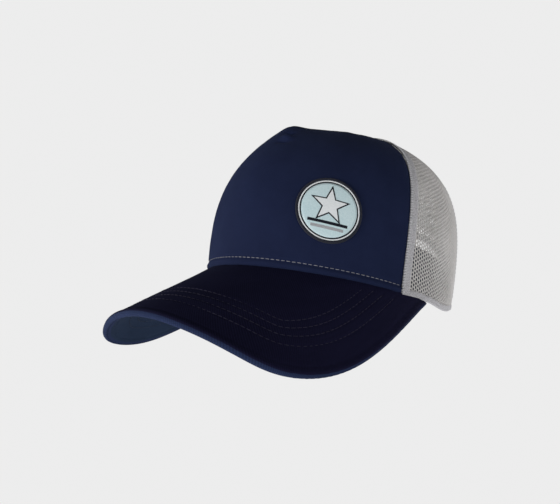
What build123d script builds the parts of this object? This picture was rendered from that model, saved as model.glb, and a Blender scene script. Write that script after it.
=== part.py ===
from build123d import *
import math
import os

import numpy as np

# Trucker mesh cap: one-piece cloth front panel, four mesh panels, curved bill,
# sweatband, and a two-part snap closure under a rear opening.
# Frame: origin at the centre of the head opening, +Z up, the bill points to -Y,
# the wearer's left is +X. Millimetres.

# ---------------------------------------------------------------- dimensions
OPENING_HALF_WIDTH = 79.94      # rim, side to side, outside
OPENING_FRONT = 101.08          # rim to the origin, at the forehead
OPENING_BACK = 95.25            # rim to the origin, at the nape
APEX_Y = -1.87
APEX_Z = 115.41                 # top of the crown under the button
RIM_FRONT_Z = 9.59              # rim over the bill
RIM_BACK_Z = 4.64               # rim at the nape
RIM_TEMPLE_DIP = -2.52
FULL_FRONT, FULL_SIDE, FULL_BACK = 2.538, 3.431, 2.800   # fullness of the crown
FULL_CORNER = -0.261
LEAN_FRONT, LEAN_SIDE, LEAN_BACK = -0.039, -0.039, -0.206
RIDGE_SLOPE, RIDGE_ROUND = 0.1465, 8.43     # roof-like slope beside the centre line
DART_HEIGHT, DART_W, DART_Y, DART_L = 4.87, 11.67, -63.57, 10.83

BILL_TILT = 28.62               # downward slope of the bill, degrees
BILL_BEND_R = 98.10             # bend radius across the bill at its root
BILL_BEND_GROWTH = 0.0958
BILL_ROOT_END = 86.2            # angle round the rim where the bend line ends
BILL_SEAM_END = 83.0            # angle round the rim where the bill ends
# outer edge of the bill, from the centre to the wearer's left end
BILL_EDGE = [(0.0, -163.41, -21.24), (30.02, -160.03, -24.76), (56.22, -150.32, -33.33),
             (74.48, -135.10, -42.48), (84.27, -107.11, -44.29), (88.01, -67.48, -31.50),
             (79.92, -12.02, -3.96)]

FRONT_SEAM_BASE, FRONT_SEAM_LEAN = 71.97, 10.18   # degrees round the crown
SIDE_SEAM = 126.0               # seam between side and back mesh panels
BUTTON_HOLE_R = 2.6

# cloth layers, depth below the outer face of the crown: (from, to)
CLOTH = (0.0, 0.9)
BACKING = (1.5, 2.6)
HEM = (1.6, 2.3)
TAPE_MESH = (1.6, 2.2)
TAPE_FRONT = (3.2, 3.8)
STRAP_TAB = (2.9, 4.1)
FOAM = (3.3, 4.3)
SWEATBAND = (4.8, 5.8)
HEM_H = 8.0
BAND_H = 33.0
FOAM_H = 26.0
TAPE_HALF_W = 5.0

# bill layers, depth below its upper face
TOP_COVER = (0.0, 0.8)
BOARD = (1.05, 2.95)
UNDER_COVER = (3.2, 3.9)
EDGE_STRIP = (-0.2, 4.1)
EDGE_W = 2.2

# rear opening
ARCH_HALF_W = 45.0
ARCH_TOP = 56.0                 # height of the opening's top above the origin
ARCH_Z0 = 2.0
ARCH_TRIM = 5.0                 # width of the binding

# snap closure
STRAP_T = 1.2
STRAP_H = 13.0
STRAP_Z0 = 5.0
STRAP_FLAT_Y = 91.0             # outer face of the peg strap over the flat stretch
STRAP_HINGE_X = 19.5
STRAP_TIP_X = 13.5
SNAP_PITCH = 8.0
PEG_R, PEG_H = 1.9, 2.2
SNAP_HOLE_R = 2.15
STRAP_GAP = 0.15
STRAP_ROOT_GAP = 0.8           # open slit where a strap bends

BUTTON_R, BUTTON_H = 7.6, 4.2
BADGE_R = 20.0
BADGE_AT = (40.0, 39.0)         # degrees round the crown, height up from the rim


# ---------------------------------------------------------------- crown shape
def rim_plan(phi):
    x = OPENING_HALF_WIDTH * np.sin(phi)
    y = np.where(np.cos(phi) > 0, -OPENING_FRONT * np.cos(phi), -OPENING_BACK * np.cos(phi))
    return x, y


def bend_z(x, y):
    tilt = math.radians(BILL_TILT)
    run = (-OPENING_FRONT - y) / math.cos(tilt)
    r = BILL_BEND_R * (1 + BILL_BEND_GROWTH * (run / 70.0 - 0.3))
    xx = np.clip(np.abs(x), 0, r * 0.985)
    return RIM_FRONT_Z - run * math.sin(tilt) - (r - np.sqrt(r * r - xx * xx))


def rim_z(phi):
    x, y = rim_plan(phi)
    end = math.radians(BILL_ROOT_END)
    around = np.abs(((phi + np.pi) % (2 * np.pi)) - np.pi)
    front = bend_z(x, y)
    xe, ye = rim_plan(np.array([end]))
    ze = bend_z(xe, ye)[0]
    s = np.clip((around - end) / (np.pi - end), 0, 1)
    back = ze + (RIM_BACK_Z - ze) * (s * s * (3 - 2 * s)) + RIM_TEMPLE_DIP * np.sin(np.pi * s)
    return np.where(around < end, front, back)


def crown(phi, tau):
    """Outer face of the crown: phi goes round from the bill, tau from rim to top."""
    phi, tau = np.broadcast_arrays(np.asarray(phi, float), np.asarray(tau, float))
    c = np.cos(phi)
    wf, wb = np.clip(c, 0, 1) ** 2, np.clip(-c, 0, 1) ** 2
    ws = 1 - wf - wb
    full = wf * FULL_FRONT + ws * FULL_SIDE + wb * FULL_BACK
    full = full + np.where(c > 0, FULL_CORNER * np.sin(2 * phi) ** 2, 0)
    lean = wf * LEAN_FRONT + ws * LEAN_SIDE + wb * LEAN_BACK
    x0, y0 = rim_plan(phi)
    z0 = rim_z(phi)
    rho = np.abs(np.cos(tau)) ** (2 / full)
    up = np.abs(np.sin(tau)) ** (2 / full)
    rho = rho * (1 - lean * up)
    x = x0 * rho
    y = APEX_Y + (y0 - APEX_Y) * rho
    z = z0 + (APEX_Z - z0) * up
    z = z - RIDGE_SLOPE * (np.sqrt(x * x + RIDGE_ROUND ** 2) - RIDGE_ROUND) * up ** 2
    z = z + DART_HEIGHT * np.exp(-(np.sqrt(x * x + 9) - 3) / DART_W
                                 - ((y - DART_Y) / DART_L) ** 2)
    return np.stack([x, y, z], -1)


def unit(v):
    return v / np.maximum(np.linalg.norm(v, axis=-1, keepdims=True), 1e-9)


def crown_normal(phi, tau):
    e = 2e-3
    du = crown(phi + e, tau) - crown(phi - e, tau)
    t1 = np.clip(tau + e, 1e-4, math.pi / 2 - 1e-4)
    t0 = np.clip(tau - e, 1e-4, math.pi / 2 - 1e-4)
    dv = crown(phi, t1) - crown(phi, t0)
    n = unit(np.cross(du, dv))
    return np.where((n @ np.array([0, 0, 1.0]) < -0.3)[..., None], -n, n)


def layer(phi, tau, depth):
    return crown(phi, tau) - depth * crown_normal(phi, tau)


def around_scale(phi, tau):
    e = 1e-3
    return np.linalg.norm(crown(phi + e, tau) - crown(phi - e, tau), axis=-1) / (2 * e)


def front_seam(tau):
    return np.radians(FRONT_SEAM_BASE + FRONT_SEAM_LEAN * tau / (math.pi / 2))


def fixed(deg):
    return lambda tau: np.full_like(tau, math.radians(deg))


def mirrored(f):
    return lambda tau: -f(tau)


TAU = np.concatenate([np.linspace(1e-4, 0.02, 12), np.linspace(0.03, 1.54, 260),
                      np.linspace(1.541, math.pi / 2 - 1e-5, 120)])


def meridian(lo, hi, u, inset=0.1):
    """Angles round the crown along one line of a panel from rim to top."""
    a, b = lo(TAU), hi(TAU)
    ra = np.maximum(around_scale(a, TAU), 3)
    rb = np.maximum(around_scale(b, TAU), 3)
    a, b = a + inset / ra, b - inset / rb
    return a + (b - a) * u


def grid(lo, hi, nu, nv, depth, start=0.0, stop=None, top_r=BUTTON_HOLE_R, inset=0.1):
    """Points of one layer of a panel; start and stop are heights up from the rim."""
    out = []
    for u in np.linspace(0, 1, nu):
        phi = meridian(lo, hi, u, inset)
        p = crown(phi, TAU)
        s = np.concatenate([[0], np.cumsum(np.linalg.norm(np.diff(p, axis=0), axis=1))])
        r = np.hypot(p[:, 0], p[:, 1] - APEX_Y)
        s_top = np.interp(-top_r, -r[::1], s) if stop is None else stop
        want = np.linspace(start, s_top, nv)
        tau = np.interp(want, s, TAU)
        ph = np.interp(tau, TAU, phi)
        out.append(layer(ph, tau, depth))
    return np.array(out)


# ---------------------------------------------------------------- solids
def spline_face(points):
    rows = [[Vector(*map(float, q)) for q in row] for row in points]
    return Face.make_surface_from_array_of_points(rows, tol=0.05, min_deg=3, max_deg=3)


def sheet_solid(outer, inner):
    """Closed solid between two matching grids of points."""
    fo, fi = spline_face(outer), spline_face(inner)
    faces = [fo, fi]
    ends = lambda e: (e.position_at(0), e.position_at(1))
    rest = list(fi.edges())
    for eo in fo.edges():
        a, b = ends(eo)
        ei = min(rest, key=lambda e: min(
            (ends(e)[0] - a).length + (ends(e)[1] - b).length,
            (ends(e)[0] - b).length + (ends(e)[1] - a).length))
        rest.remove(ei)
        faces.append(Face.make_surface_from_curves(eo, ei))
    solid = Solid(Shell(faces))
    if solid.volume < 0:
        solid = Solid(Shell([-f for f in faces]))
    return solid


def save(shape, name):
    shape.label = name
    export_step(shape, f"parts/{name}.step")


def panel(lo, hi, nu, nv, depths, **kw):
    return sheet_solid(grid(lo, hi, nu, nv, depths[0], **kw),
                       grid(lo, hi, nu, nv, depths[1], **kw))


def tape(centre, depths, start, top_r, nv=9):
    """Strip of constant width along a seam, on the inside."""
    phi = centre(TAU)
    p = crown(phi, TAU)
    s = np.concatenate([[0], np.cumsum(np.linalg.norm(np.diff(p, axis=0), axis=1))])
    r = np.hypot(p[:, 0], p[:, 1] - APEX_Y)
    s_top = np.interp(-top_r, -r, s)
    tau = np.interp(np.linspace(start, s_top, nv), s, TAU)
    ph = np.interp(tau, TAU, phi)
    scale = around_scale(ph, tau)
    made = []
    for depth in depths:
        made.append(np.array([layer(ph + w / scale, tau, depth)
                              for w in np.linspace(-TAPE_HALF_W, TAPE_HALF_W, 3)]))
    return sheet_solid(*made)


# ---------------------------------------------------------------- bill shape
def edge_curve(t):
    """Outer edge of the bill; t runs from -1 to 1."""
    c = np.array(BILL_EDGE)
    full = np.vstack([c[::-1][:-1] * [-1, 1, 1], c])
    knots = np.linspace(-1, 1, len(full))
    n = len(full)
    h = knots[1] - knots[0]
    # natural-ish cubic through the points, solved for the slopes
    a = np.zeros((n, n))
    rhs = np.zeros((n, 3))
    for i in range(1, n - 1):
        a[i, i - 1:i + 2] = (1, 4, 1)
        rhs[i] = 3 * (full[i + 1] - full[i - 1]) / h
    a[0, :2] = (2, 1)
    rhs[0] = 3 * (full[1] - full[0]) / h
    a[-1, -2:] = (1, 2)
    rhs[-1] = 3 * (full[-1] - full[-2]) / h
    m = np.linalg.solve(a, rhs)
    t = np.asarray(t, float)
    i = np.clip(((t + 1) / h).astype(int), 0, n - 2)
    s = ((t - knots[i]) / h)[..., None]
    return ((2 * s ** 3 - 3 * s ** 2 + 1) * full[i] + (s ** 3 - 2 * s ** 2 + s) * h * m[i]
            + (-2 * s ** 3 + 3 * s ** 2) * full[i + 1] + (s ** 3 - s ** 2) * h * m[i + 1])


def bill_point(t, w):
    phi = np.radians(BILL_SEAM_END) * t
    a = crown(phi, np.zeros_like(phi))
    a = a + 0.25 * unit(a * [1, 1, 0])
    return a + (edge_curve(t) - a) * w[..., None]


def bill_layer(t, w, depth):
    e = 1e-3
    du = bill_point(t + e, w) - bill_point(t - e, w)
    dw = bill_point(t, w + e) - bill_point(t, w - e)
    n = unit(np.cross(dw, du))
    n = np.where(n[..., 2:] < 0, -n, n)
    return bill_point(t, w) - depth * n


BILL_T = 0.965


def bill_grid(depth, w0, w1, nt=21, nw=5, t_end=BILL_T):
    t = np.linspace(-t_end, t_end, nt)
    chord = np.linalg.norm(edge_curve(t) - bill_point(t, np.zeros_like(t)), axis=-1)
    lo, hi = w0 / chord, 1 - w1 / chord
    rows = []
    for i in range(nt):
        w = np.linspace(lo[i], hi[i], nw)
        rows.append(bill_layer(np.full(nw, t[i]), w, depth))
    return np.array(rows)


def bill_sheet(depths, w0, w1, **kw):
    return sheet_solid(bill_grid(depths[0], w0, w1, **kw), bill_grid(depths[1], w0, w1, **kw))


os.makedirs("parts", exist_ok=True)

# ---------------------------------------------------------------- crown panels
save(panel(mirrored(front_seam), front_seam, 17, 12, CLOTH), "front_panel")
save(panel(mirrored(front_seam), front_seam, 17, 12, BACKING),
     "front_backing")


def arch_prism(half_w, top, y0=20.0, y1=150.0):
    """Half-ellipse doorway shape, extruded along Y."""
    rise = top - ARCH_Z0
    pts = [(half_w * math.cos(a), ARCH_Z0 + rise * math.sin(a))
           for a in np.linspace(0, math.pi, 25)]
    with BuildSketch(Plane.XZ) as sk:
        with BuildLine():
            curve = Spline([(x, z) for x, z in pts], tangents=[(0, 1), (0, -1)])
            Polyline(pts[-1], (-half_w, -30), (half_w, -30), pts[0])
        make_face()
    return extrude(sk.sketch.moved(Location((0, y0, 0))), amount=-(y1 - y0))


arch_cut = arch_prism(ARCH_HALF_W + ARCH_TRIM, ARCH_TOP + ARCH_TRIM)
side_l = panel(front_seam, fixed(SIDE_SEAM), 7, 11, CLOTH)
side_r = panel(fixed(-SIDE_SEAM), mirrored(front_seam), 7, 11, CLOTH)
back_l = panel(fixed(SIDE_SEAM), fixed(180), 7, 11, CLOTH) - arch_cut
back_r = panel(fixed(-180), fixed(-SIDE_SEAM), 7, 11, CLOTH) - arch_cut
save(side_l, "mesh_side_left")
save(side_r, "mesh_side_right")
save(back_l, "mesh_back_left")
save(back_r, "mesh_back_right")

# folded hem of the mesh, from the front seam to the corner of the rear opening
HEM_END = 133.0
save(panel(front_seam, fixed(HEM_END), 9, 3, HEM, start=0.3, stop=HEM_H, inset=6.0),
     "mesh_hem_left")
save(panel(fixed(-HEM_END), mirrored(front_seam), 9, 3, HEM, start=0.3, stop=HEM_H, inset=6.0),
     "mesh_hem_right")

# binding round the rear opening
ring_outer = arch_prism(ARCH_HALF_W + ARCH_TRIM - 0.15, ARCH_TOP + ARCH_TRIM - 0.15)
ring_inner = arch_prism(ARCH_HALF_W, ARCH_TOP, 15.0, 155.0)
rear_wall = sheet_solid(grid(fixed(135), fixed(225), 11, 7, -0.3, start=0.0, stop=85.0),
                        grid(fixed(135), fixed(225), 11, 7, 1.2, start=0.0, stop=85.0))
save((rear_wall & ring_outer) - ring_inner, "rear_arch_binding")

# seam tapes
save(tape(front_seam, TAPE_FRONT, 3.0, 17.0), "seam_tape_front_left")
save(tape(mirrored(front_seam), TAPE_FRONT, 3.0, 17.0), "seam_tape_front_right")
save(tape(fixed(SIDE_SEAM), TAPE_MESH, HEM_H + 1.0, 15.0), "seam_tape_back_left")
save(tape(fixed(-SIDE_SEAM), TAPE_MESH, HEM_H + 1.0, 15.0), "seam_tape_back_right")
save(tape(fixed(180), TAPE_MESH, 62.0, 15.0), "seam_tape_centre_back")

# sweatband and its foam
BAND_END = 150.0
save(panel(fixed(-BAND_END), fixed(BAND_END), 25, 4, SWEATBAND, start=0.8, stop=BAND_H),
     "sweatband")
save(panel(fixed(-58), fixed(58), 11, 4, FOAM, start=3.0, stop=FOAM_H), "sweatband_foam")

# ---------------------------------------------------------------- bill
save(bill_sheet(TOP_COVER, 0.0, EDGE_W + 0.9), "bill_top_cover")
save(bill_sheet(BOARD, 0.6, EDGE_W + 0.9), "bill_board")
save(bill_sheet(UNDER_COVER, 0.6, EDGE_W + 0.9), "bill_under_cover")
edge_t = np.linspace(-BILL_T, BILL_T, 21)
edge_chord = np.linalg.norm(edge_curve(edge_t) - bill_point(edge_t, np.zeros(21)), axis=-1)
save(sheet_solid(*[np.array([bill_layer(np.full(3, t), np.linspace(1 - EDGE_W / c, 1, 3), d)
                             for t, c in zip(edge_t, edge_chord)])
                   for d in EDGE_STRIP]), "bill_edge_binding")

# ---------------------------------------------------------------- button
top = Vector(0, APEX_Y, APEX_Z)
with BuildPart() as cover:
    with BuildSketch(Plane.XZ) as s:
        with BuildLine():
            l1 = Line((0, BUTTON_H), (0, BUTTON_H - 0.7))
            l2 = Spline((0, BUTTON_H - 0.7), (BUTTON_R * 0.62, BUTTON_H - 1.6),
                        (BUTTON_R - 0.8, 0.5), tangents=[(1, 0), (0, -1)])
            l3 = Line((BUTTON_R - 0.8, 0.5), (BUTTON_R, 0.5))
            l4 = Spline((BUTTON_R, 0.5), (BUTTON_R * 0.68, BUTTON_H - 0.8),
                        (0, BUTTON_H), tangents=[(0, 1), (-1, 0)])
        make_face()
    revolve(axis=Axis.Z)
save(cover.part.moved(Location(top)), "button_cover")
with BuildPart() as core:
    with BuildSketch(Plane.XZ):
        with BuildLine():
            Polyline((0, -6.5), (1.4, -6.5), (1.4, 0.6), (6.2, 0.6))
            Spline((6.2, 0.6), (4.3, BUTTON_H - 1.9), (0, BUTTON_H - 0.95),
                   tangents=[(0, 1), (-1, 0)])
            Line((0, BUTTON_H - 0.95), (0, -6.5))
        make_face()
    revolve(axis=Axis.Z)
save(core.part.moved(Location(top)), "button_core")
with BuildPart() as washer:
    with Locations((0, 0, -5.9)):
        Cylinder(6.5, 0.8)
        Cylinder(1.55, 2, mode=Mode.SUBTRACT)
save(washer.part.moved(Location(top)), "button_washer")

# ---------------------------------------------------------------- badge
badge_phi = math.radians(BADGE_AT[0])
ph_line = np.full_like(TAU, badge_phi)
line = crown(ph_line, TAU)
s_line = np.concatenate([[0], np.cumsum(np.linalg.norm(np.diff(line, axis=0), axis=1))])
tau_b = float(np.interp(BADGE_AT[1], s_line, TAU))
centre_b = crown(badge_phi, tau_b)
normal_b = crown_normal(np.array([badge_phi]), np.array([tau_b]))[0]
half_deg = math.degrees(BADGE_R / float(around_scale(np.array([badge_phi]), np.array([tau_b]))[0]))
s_mid = BADGE_AT[1]
rng = dict(start=s_mid - BADGE_R - 4, stop=s_mid + BADGE_R + 4, inset=0.0)
lo_b, hi_b = fixed(BADGE_AT[0] - half_deg * 1.35), fixed(BADGE_AT[0] + half_deg * 1.35)
patch = sheet_solid(grid(lo_b, hi_b, 5, 5, -1.6, **rng), grid(lo_b, hi_b, 5, 5, -0.5, **rng))
punch = Solid.make_cylinder(BADGE_R, 40, Plane(origin=tuple(centre_b - 20 * normal_b),
                                               z_dir=tuple(normal_b)))
save(patch & punch, "front_badge")
print("badge centre", centre_b, "normal", normal_b)

# ---------------------------------------------------------------- snap closure
def band_line(phi, depth, z):
    """Plan point of a layer of the band at one height."""
    p = crown(phi, np.full_like(phi, 0.08))
    n = crown_normal(phi, np.full_like(phi, 0.08)) * [1, 1, 0]
    return (p - depth * unit(n)) * [1, 1, 0] + np.array([0, 0, z])


def root_path(sign, y_mid):
    """Middle line of a strap's root: sewn tab, then a bend up to the flat stretch."""
    mid_depth = sum(STRAP_TAB) / 2
    phi = np.radians(np.linspace(136, 147, 6))
    tab = band_line(phi, mid_depth, 0)[:, :2]
    p0, d0 = tab[-1], unit(tab[-1] - tab[-2])
    p1, d1 = np.array([STRAP_HINGE_X + STRAP_ROOT_GAP, y_mid]), np.array([-1.0, 0.0])
    k = np.linalg.norm(p1 - p0) * 0.42
    s = np.linspace(0, 1, 13)[1:, None]
    bez = ((1 - s) ** 3 * p0 + 3 * (1 - s) ** 2 * s * (p0 + k * d0)
           + 3 * (1 - s) * s ** 2 * (p1 - 0.9 * k * d1) + s ** 3 * p1)
    line = np.vstack([tab, bez])
    return line * [sign, 1]


def strap_root(path, z0, z1):
    d = unit(np.gradient(path, axis=0))
    n = np.stack([-d[:, 1], d[:, 0]], -1)
    def side(k):
        q = path + k * n
        return np.array([[(x, y, z) for z in np.linspace(z0, z1, 4)] for x, y in q])
    return sheet_solid(side(STRAP_T / 2), side(-STRAP_T / 2)), d, n


hole_z = STRAP_Z0 + STRAP_H / 2
z_lo, z_hi = STRAP_Z0, STRAP_Z0 + STRAP_H
peg_mid_y = STRAP_FLAT_Y - STRAP_T / 2
hole_mid_y = STRAP_FLAT_Y + STRAP_GAP + STRAP_T / 2


def flat_strap(sign, y_mid):
    """Flat free end, from its hinge to its rounded tip past the centre."""
    length = STRAP_HINGE_X + STRAP_TIP_X
    with BuildPart() as bp:
        with BuildSketch(Plane.XZ.offset(-(y_mid + STRAP_T / 2))):
            with Locations((sign * (STRAP_HINGE_X - length / 2), hole_z)):
                Rectangle(length, STRAP_H)
        extrude(amount=STRAP_T)
    part = bp.part
    tip = part.edges().filter_by(Axis.Y).filter_by(
        lambda e: abs(e.center().X + sign * STRAP_TIP_X) < 0.1)
    return fillet(tip, 5.5)


def peg(x, y_face, direction=(0, 1, 0), h=PEG_H):
    o = (x, y_face, hole_z)
    return Solid.make_cylinder(PEG_R, h, Plane(origin=o, z_dir=direction))


# strap with holes, outside, on the wearer's left
free_holes = flat_strap(1, hole_mid_y)
for i in (-1, 0, 1, 2):
    free_holes -= Solid.make_cylinder(SNAP_HOLE_R, 10, Plane(
        origin=(i * SNAP_PITCH, hole_mid_y - 5, hole_z), z_dir=(0, 1, 0)))
save(free_holes, "snap_strap_holes")

path = root_path(1, hole_mid_y)
root, d, n = strap_root(path, z_lo, z_hi)
arc = np.concatenate([[0], np.cumsum(np.linalg.norm(np.diff(path, axis=0), axis=1))])
for i in (3, 4, 5):
    want = arc[-1] - (i * SNAP_PITCH - STRAP_HINGE_X - STRAP_ROOT_GAP)
    c = np.array([np.interp(want, arc, path[:, k]) for k in (0, 1)])
    nn = np.array([np.interp(want, arc, n[:, k]) for k in (0, 1)])
    root -= Solid.make_cylinder(SNAP_HOLE_R, 10, Plane(
        origin=(c[0] - 5 * nn[0], c[1] - 5 * nn[1], hole_z), z_dir=(nn[0], nn[1], 0)))
save(root, "snap_strap_holes_base")

# strap with pegs, inside, on the wearer's right
free_pegs = flat_strap(-1, peg_mid_y)
for i in (-2, -1, 0, 1):
    free_pegs += peg(i * SNAP_PITCH, STRAP_FLAT_Y - 0.3, h=PEG_H + 0.3)
save(free_pegs, "snap_strap_pegs")
path = root_path(-1, peg_mid_y)
root, d, n = strap_root(path, z_lo, z_hi)
arc = np.concatenate([[0], np.cumsum(np.linalg.norm(np.diff(path, axis=0), axis=1))])
for i in (3, 4):
    want = arc[-1] - (i * SNAP_PITCH - STRAP_HINGE_X - STRAP_ROOT_GAP)
    c = np.array([np.interp(want, arc, path[:, k]) for k in (0, 1)])
    nn = unit(np.array([np.interp(want, arc, n[:, k]) for k in (0, 1)]))
    if nn[1] < 0:
        nn = -nn
    o = c + nn * (STRAP_T / 2 - 0.4)
    root += Solid.make_cylinder(PEG_R, PEG_H + 0.4, Plane(
        origin=(o[0], o[1], hole_z), z_dir=(nn[0], nn[1], 0)))
save(root, "snap_strap_pegs_base")

# ---------------------------------------------------------------- label
save(sheet_solid(*[grid(fixed(163), fixed(197), 5, 3, d_, start=64.0, stop=84.0, inset=0.0)
                   for d_ in (2.6, 3.1)]), "inner_label")
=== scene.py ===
import math

import bpy
import numpy as np
from mathutils import Matrix, Vector
from mathutils.geometry import delaunay_2d_cdt


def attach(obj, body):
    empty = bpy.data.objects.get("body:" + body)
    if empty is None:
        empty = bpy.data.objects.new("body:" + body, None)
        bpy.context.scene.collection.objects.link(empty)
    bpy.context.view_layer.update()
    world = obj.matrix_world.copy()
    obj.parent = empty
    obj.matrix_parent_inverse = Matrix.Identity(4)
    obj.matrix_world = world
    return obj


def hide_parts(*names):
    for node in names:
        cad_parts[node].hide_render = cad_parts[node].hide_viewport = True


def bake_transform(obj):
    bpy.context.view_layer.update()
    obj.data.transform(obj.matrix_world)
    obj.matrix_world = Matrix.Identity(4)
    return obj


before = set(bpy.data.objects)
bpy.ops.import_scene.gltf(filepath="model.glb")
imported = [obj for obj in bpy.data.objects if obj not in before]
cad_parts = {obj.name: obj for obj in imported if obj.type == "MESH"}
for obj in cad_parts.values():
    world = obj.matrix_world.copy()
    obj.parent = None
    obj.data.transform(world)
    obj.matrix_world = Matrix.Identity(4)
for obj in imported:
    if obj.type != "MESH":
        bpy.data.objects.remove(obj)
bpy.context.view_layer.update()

MM = 0.001

# ------------------------------------------------------------------ shape of the cap (mm)
OPENING_HALF_WIDTH, OPENING_FRONT, OPENING_BACK = 79.94, 101.08, 95.25
APEX_Y, APEX_Z = -1.87, 115.41
RIM_FRONT_Z, RIM_BACK_Z, RIM_TEMPLE_DIP = 9.59, 4.64, -2.52
FULL_FRONT, FULL_SIDE, FULL_BACK, FULL_CORNER = 2.538, 3.431, 2.800, -0.261
LEAN_FRONT, LEAN_SIDE, LEAN_BACK = -0.039, -0.039, -0.206
RIDGE_SLOPE, RIDGE_ROUND = 0.1465, 8.43
DART_HEIGHT, DART_W, DART_Y, DART_L = 4.87, 11.67, -63.57, 10.83
BILL_TILT, BILL_BEND_R, BILL_BEND_GROWTH, BILL_ROOT_END, BILL_SEAM_END = 28.62, 98.10, 0.0958, 86.2, 83.0
BILL_EDGE = [(0.0, -163.41, -21.24), (30.02, -160.03, -24.76), (56.22, -150.32, -33.33),
             (74.48, -135.10, -42.48), (84.27, -107.11, -44.29), (88.01, -67.48, -31.50),
             (82.20, -9.60, -1.90)]
FRONT_SEAM_BASE, FRONT_SEAM_LEAN, SIDE_SEAM = 71.97, 10.18, 126.0
ARCH_HALF_W, ARCH_TOP, ARCH_Z0 = 45.0, 56.0, 2.0
BILL_T = 0.997
# the soft lower edge rides up a little where the bill ends
LIFT = ([68, 71, 74, 77, 80, 83, 85, 87, 89, 92, 95, 98, 101, 105, 110, 114, 118],
        [0, 0.1, 0.5, 1.1, 1.9, 2.8, 3.3, 3.3, 2.9, 2.0, 1.1, 0.3, -0.3, -0.65, -0.6, -0.25, 0])


def unit(v):
    return v / np.maximum(np.linalg.norm(v, axis=-1, keepdims=True), 1e-9)


def rim_plan(phi):
    return (OPENING_HALF_WIDTH * np.sin(phi),
            np.where(np.cos(phi) > 0, -OPENING_FRONT * np.cos(phi), -OPENING_BACK * np.cos(phi)))


def bend_z(x, y):
    tilt = math.radians(BILL_TILT)
    run = (-OPENING_FRONT - y) / math.cos(tilt)
    r = BILL_BEND_R * (1 + BILL_BEND_GROWTH * (run / 70.0 - 0.3))
    xx = np.clip(np.abs(x), 0, r * 0.985)
    return RIM_FRONT_Z - run * math.sin(tilt) - (r - np.sqrt(r * r - xx * xx))


def rim_z(phi):
    x, y = rim_plan(phi)
    end = math.radians(BILL_ROOT_END)
    around = np.abs(((phi + np.pi) % (2 * np.pi)) - np.pi)
    front = bend_z(x, y)
    xe, ye = rim_plan(np.array([end]))
    ze = bend_z(xe, ye)[0]
    s = np.clip((around - end) / (np.pi - end), 0, 1)
    back = ze + (RIM_BACK_Z - ze) * (s * s * (3 - 2 * s)) + RIM_TEMPLE_DIP * np.sin(np.pi * s)
    return np.where(around < end, front, back) + np.interp(np.degrees(around), LIFT[0], LIFT[1])


def crown(phi, tau):
    phi, tau = np.broadcast_arrays(np.asarray(phi, float), np.asarray(tau, float))
    c = np.cos(phi)
    wf, wb = np.clip(c, 0, 1) ** 2, np.clip(-c, 0, 1) ** 2
    ws = 1 - wf - wb
    full = wf * FULL_FRONT + ws * FULL_SIDE + wb * FULL_BACK
    full = full + np.where(c > 0, FULL_CORNER * np.sin(2 * phi) ** 2, 0)
    lean = wf * LEAN_FRONT + ws * LEAN_SIDE + wb * LEAN_BACK
    x0, y0 = rim_plan(phi)
    z0 = rim_z(phi)
    rho = np.abs(np.cos(tau)) ** (2 / full)
    up = np.abs(np.sin(tau)) ** (2 / full)
    rho = rho * (1 - lean * up)
    x = x0 * rho
    y = APEX_Y + (y0 - APEX_Y) * rho
    z = z0 + (APEX_Z - z0) * up
    z = z - RIDGE_SLOPE * (np.sqrt(x * x + RIDGE_ROUND ** 2) - RIDGE_ROUND) * up ** 2
    z = z + DART_HEIGHT * np.exp(-(np.sqrt(x * x + 9) - 3) / DART_W - ((y - DART_Y) / DART_L) ** 2)
    return np.stack([x, y, z], -1)


def crown_normal(phi, tau):
    e = 2e-3
    t1 = np.clip(tau + e, 1e-4, math.pi / 2 - 1e-4)
    t0 = np.clip(tau - e, 1e-4, math.pi / 2 - 1e-4)
    n = unit(np.cross(crown(phi + e, tau) - crown(phi - e, tau), crown(phi, t1) - crown(phi, t0)))
    return np.where((n[..., 2] < -0.3)[..., None], -n, n)


N_PHI, N_S = 721, 401
S_MAX = 190.0
_tau = np.concatenate([np.linspace(1e-4, 0.02, 14), np.linspace(0.03, 1.54, 300),
                       np.linspace(1.541, math.pi / 2 - 1e-5, 160)])
_phi_axis = np.linspace(-math.pi, math.pi, N_PHI)
_tab_tau = np.zeros((N_PHI, N_S))
_len = np.zeros(N_PHI)
for _i, _f in enumerate(_phi_axis):
    _p = crown(np.full_like(_tau, _f), _tau)
    _s = np.concatenate([[0], np.cumsum(np.linalg.norm(np.diff(_p, axis=0), axis=1))])
    _len[_i] = _s[-1]
    _tab_tau[_i] = np.interp(np.linspace(0, S_MAX, N_S), _s, _tau)


def wrap(phi):
    return (np.asarray(phi, float) + math.pi) % (2 * math.pi) - math.pi


_grid = crown(_phi_axis[:, None], _tab_tau)
_step = np.linalg.norm(np.diff(_grid, axis=0), axis=2) + 1e-6
_tab_x = np.vstack([np.zeros((1, N_S)), np.cumsum(_step, axis=0)])
_tab_x = _tab_x - _tab_x[N_PHI // 2]


def phi_from_arc(centre, x, s):
    """Angle that lies x mm round the crown from centre, at height s."""
    x, s = np.asarray(x, float), np.asarray(s, float)
    out = np.zeros_like(x)
    for v in np.unique(np.round(s, 3)):
        m = np.abs(s - v) < 6e-4
        b = min(max(v, 0.0) / S_MAX * (N_S - 1), N_S - 1.001)
        j = int(b)
        col = (1 - (b - j)) * _tab_x[:, j] + (b - j) * _tab_x[:, j + 1]
        ext = np.concatenate([_phi_axis, _phi_axis[1:] + 2 * math.pi])
        colx = np.concatenate([col, col[1:] + (col[-1] - col[0])])
        ext = np.concatenate([_phi_axis[:-1] - 2 * math.pi, ext])
        colx = np.concatenate([col[:-1] - (col[-1] - col[0]), colx])
        out[m] = np.interp(np.interp(centre, ext, colx) + x[m], colx, ext)
    return out


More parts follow.
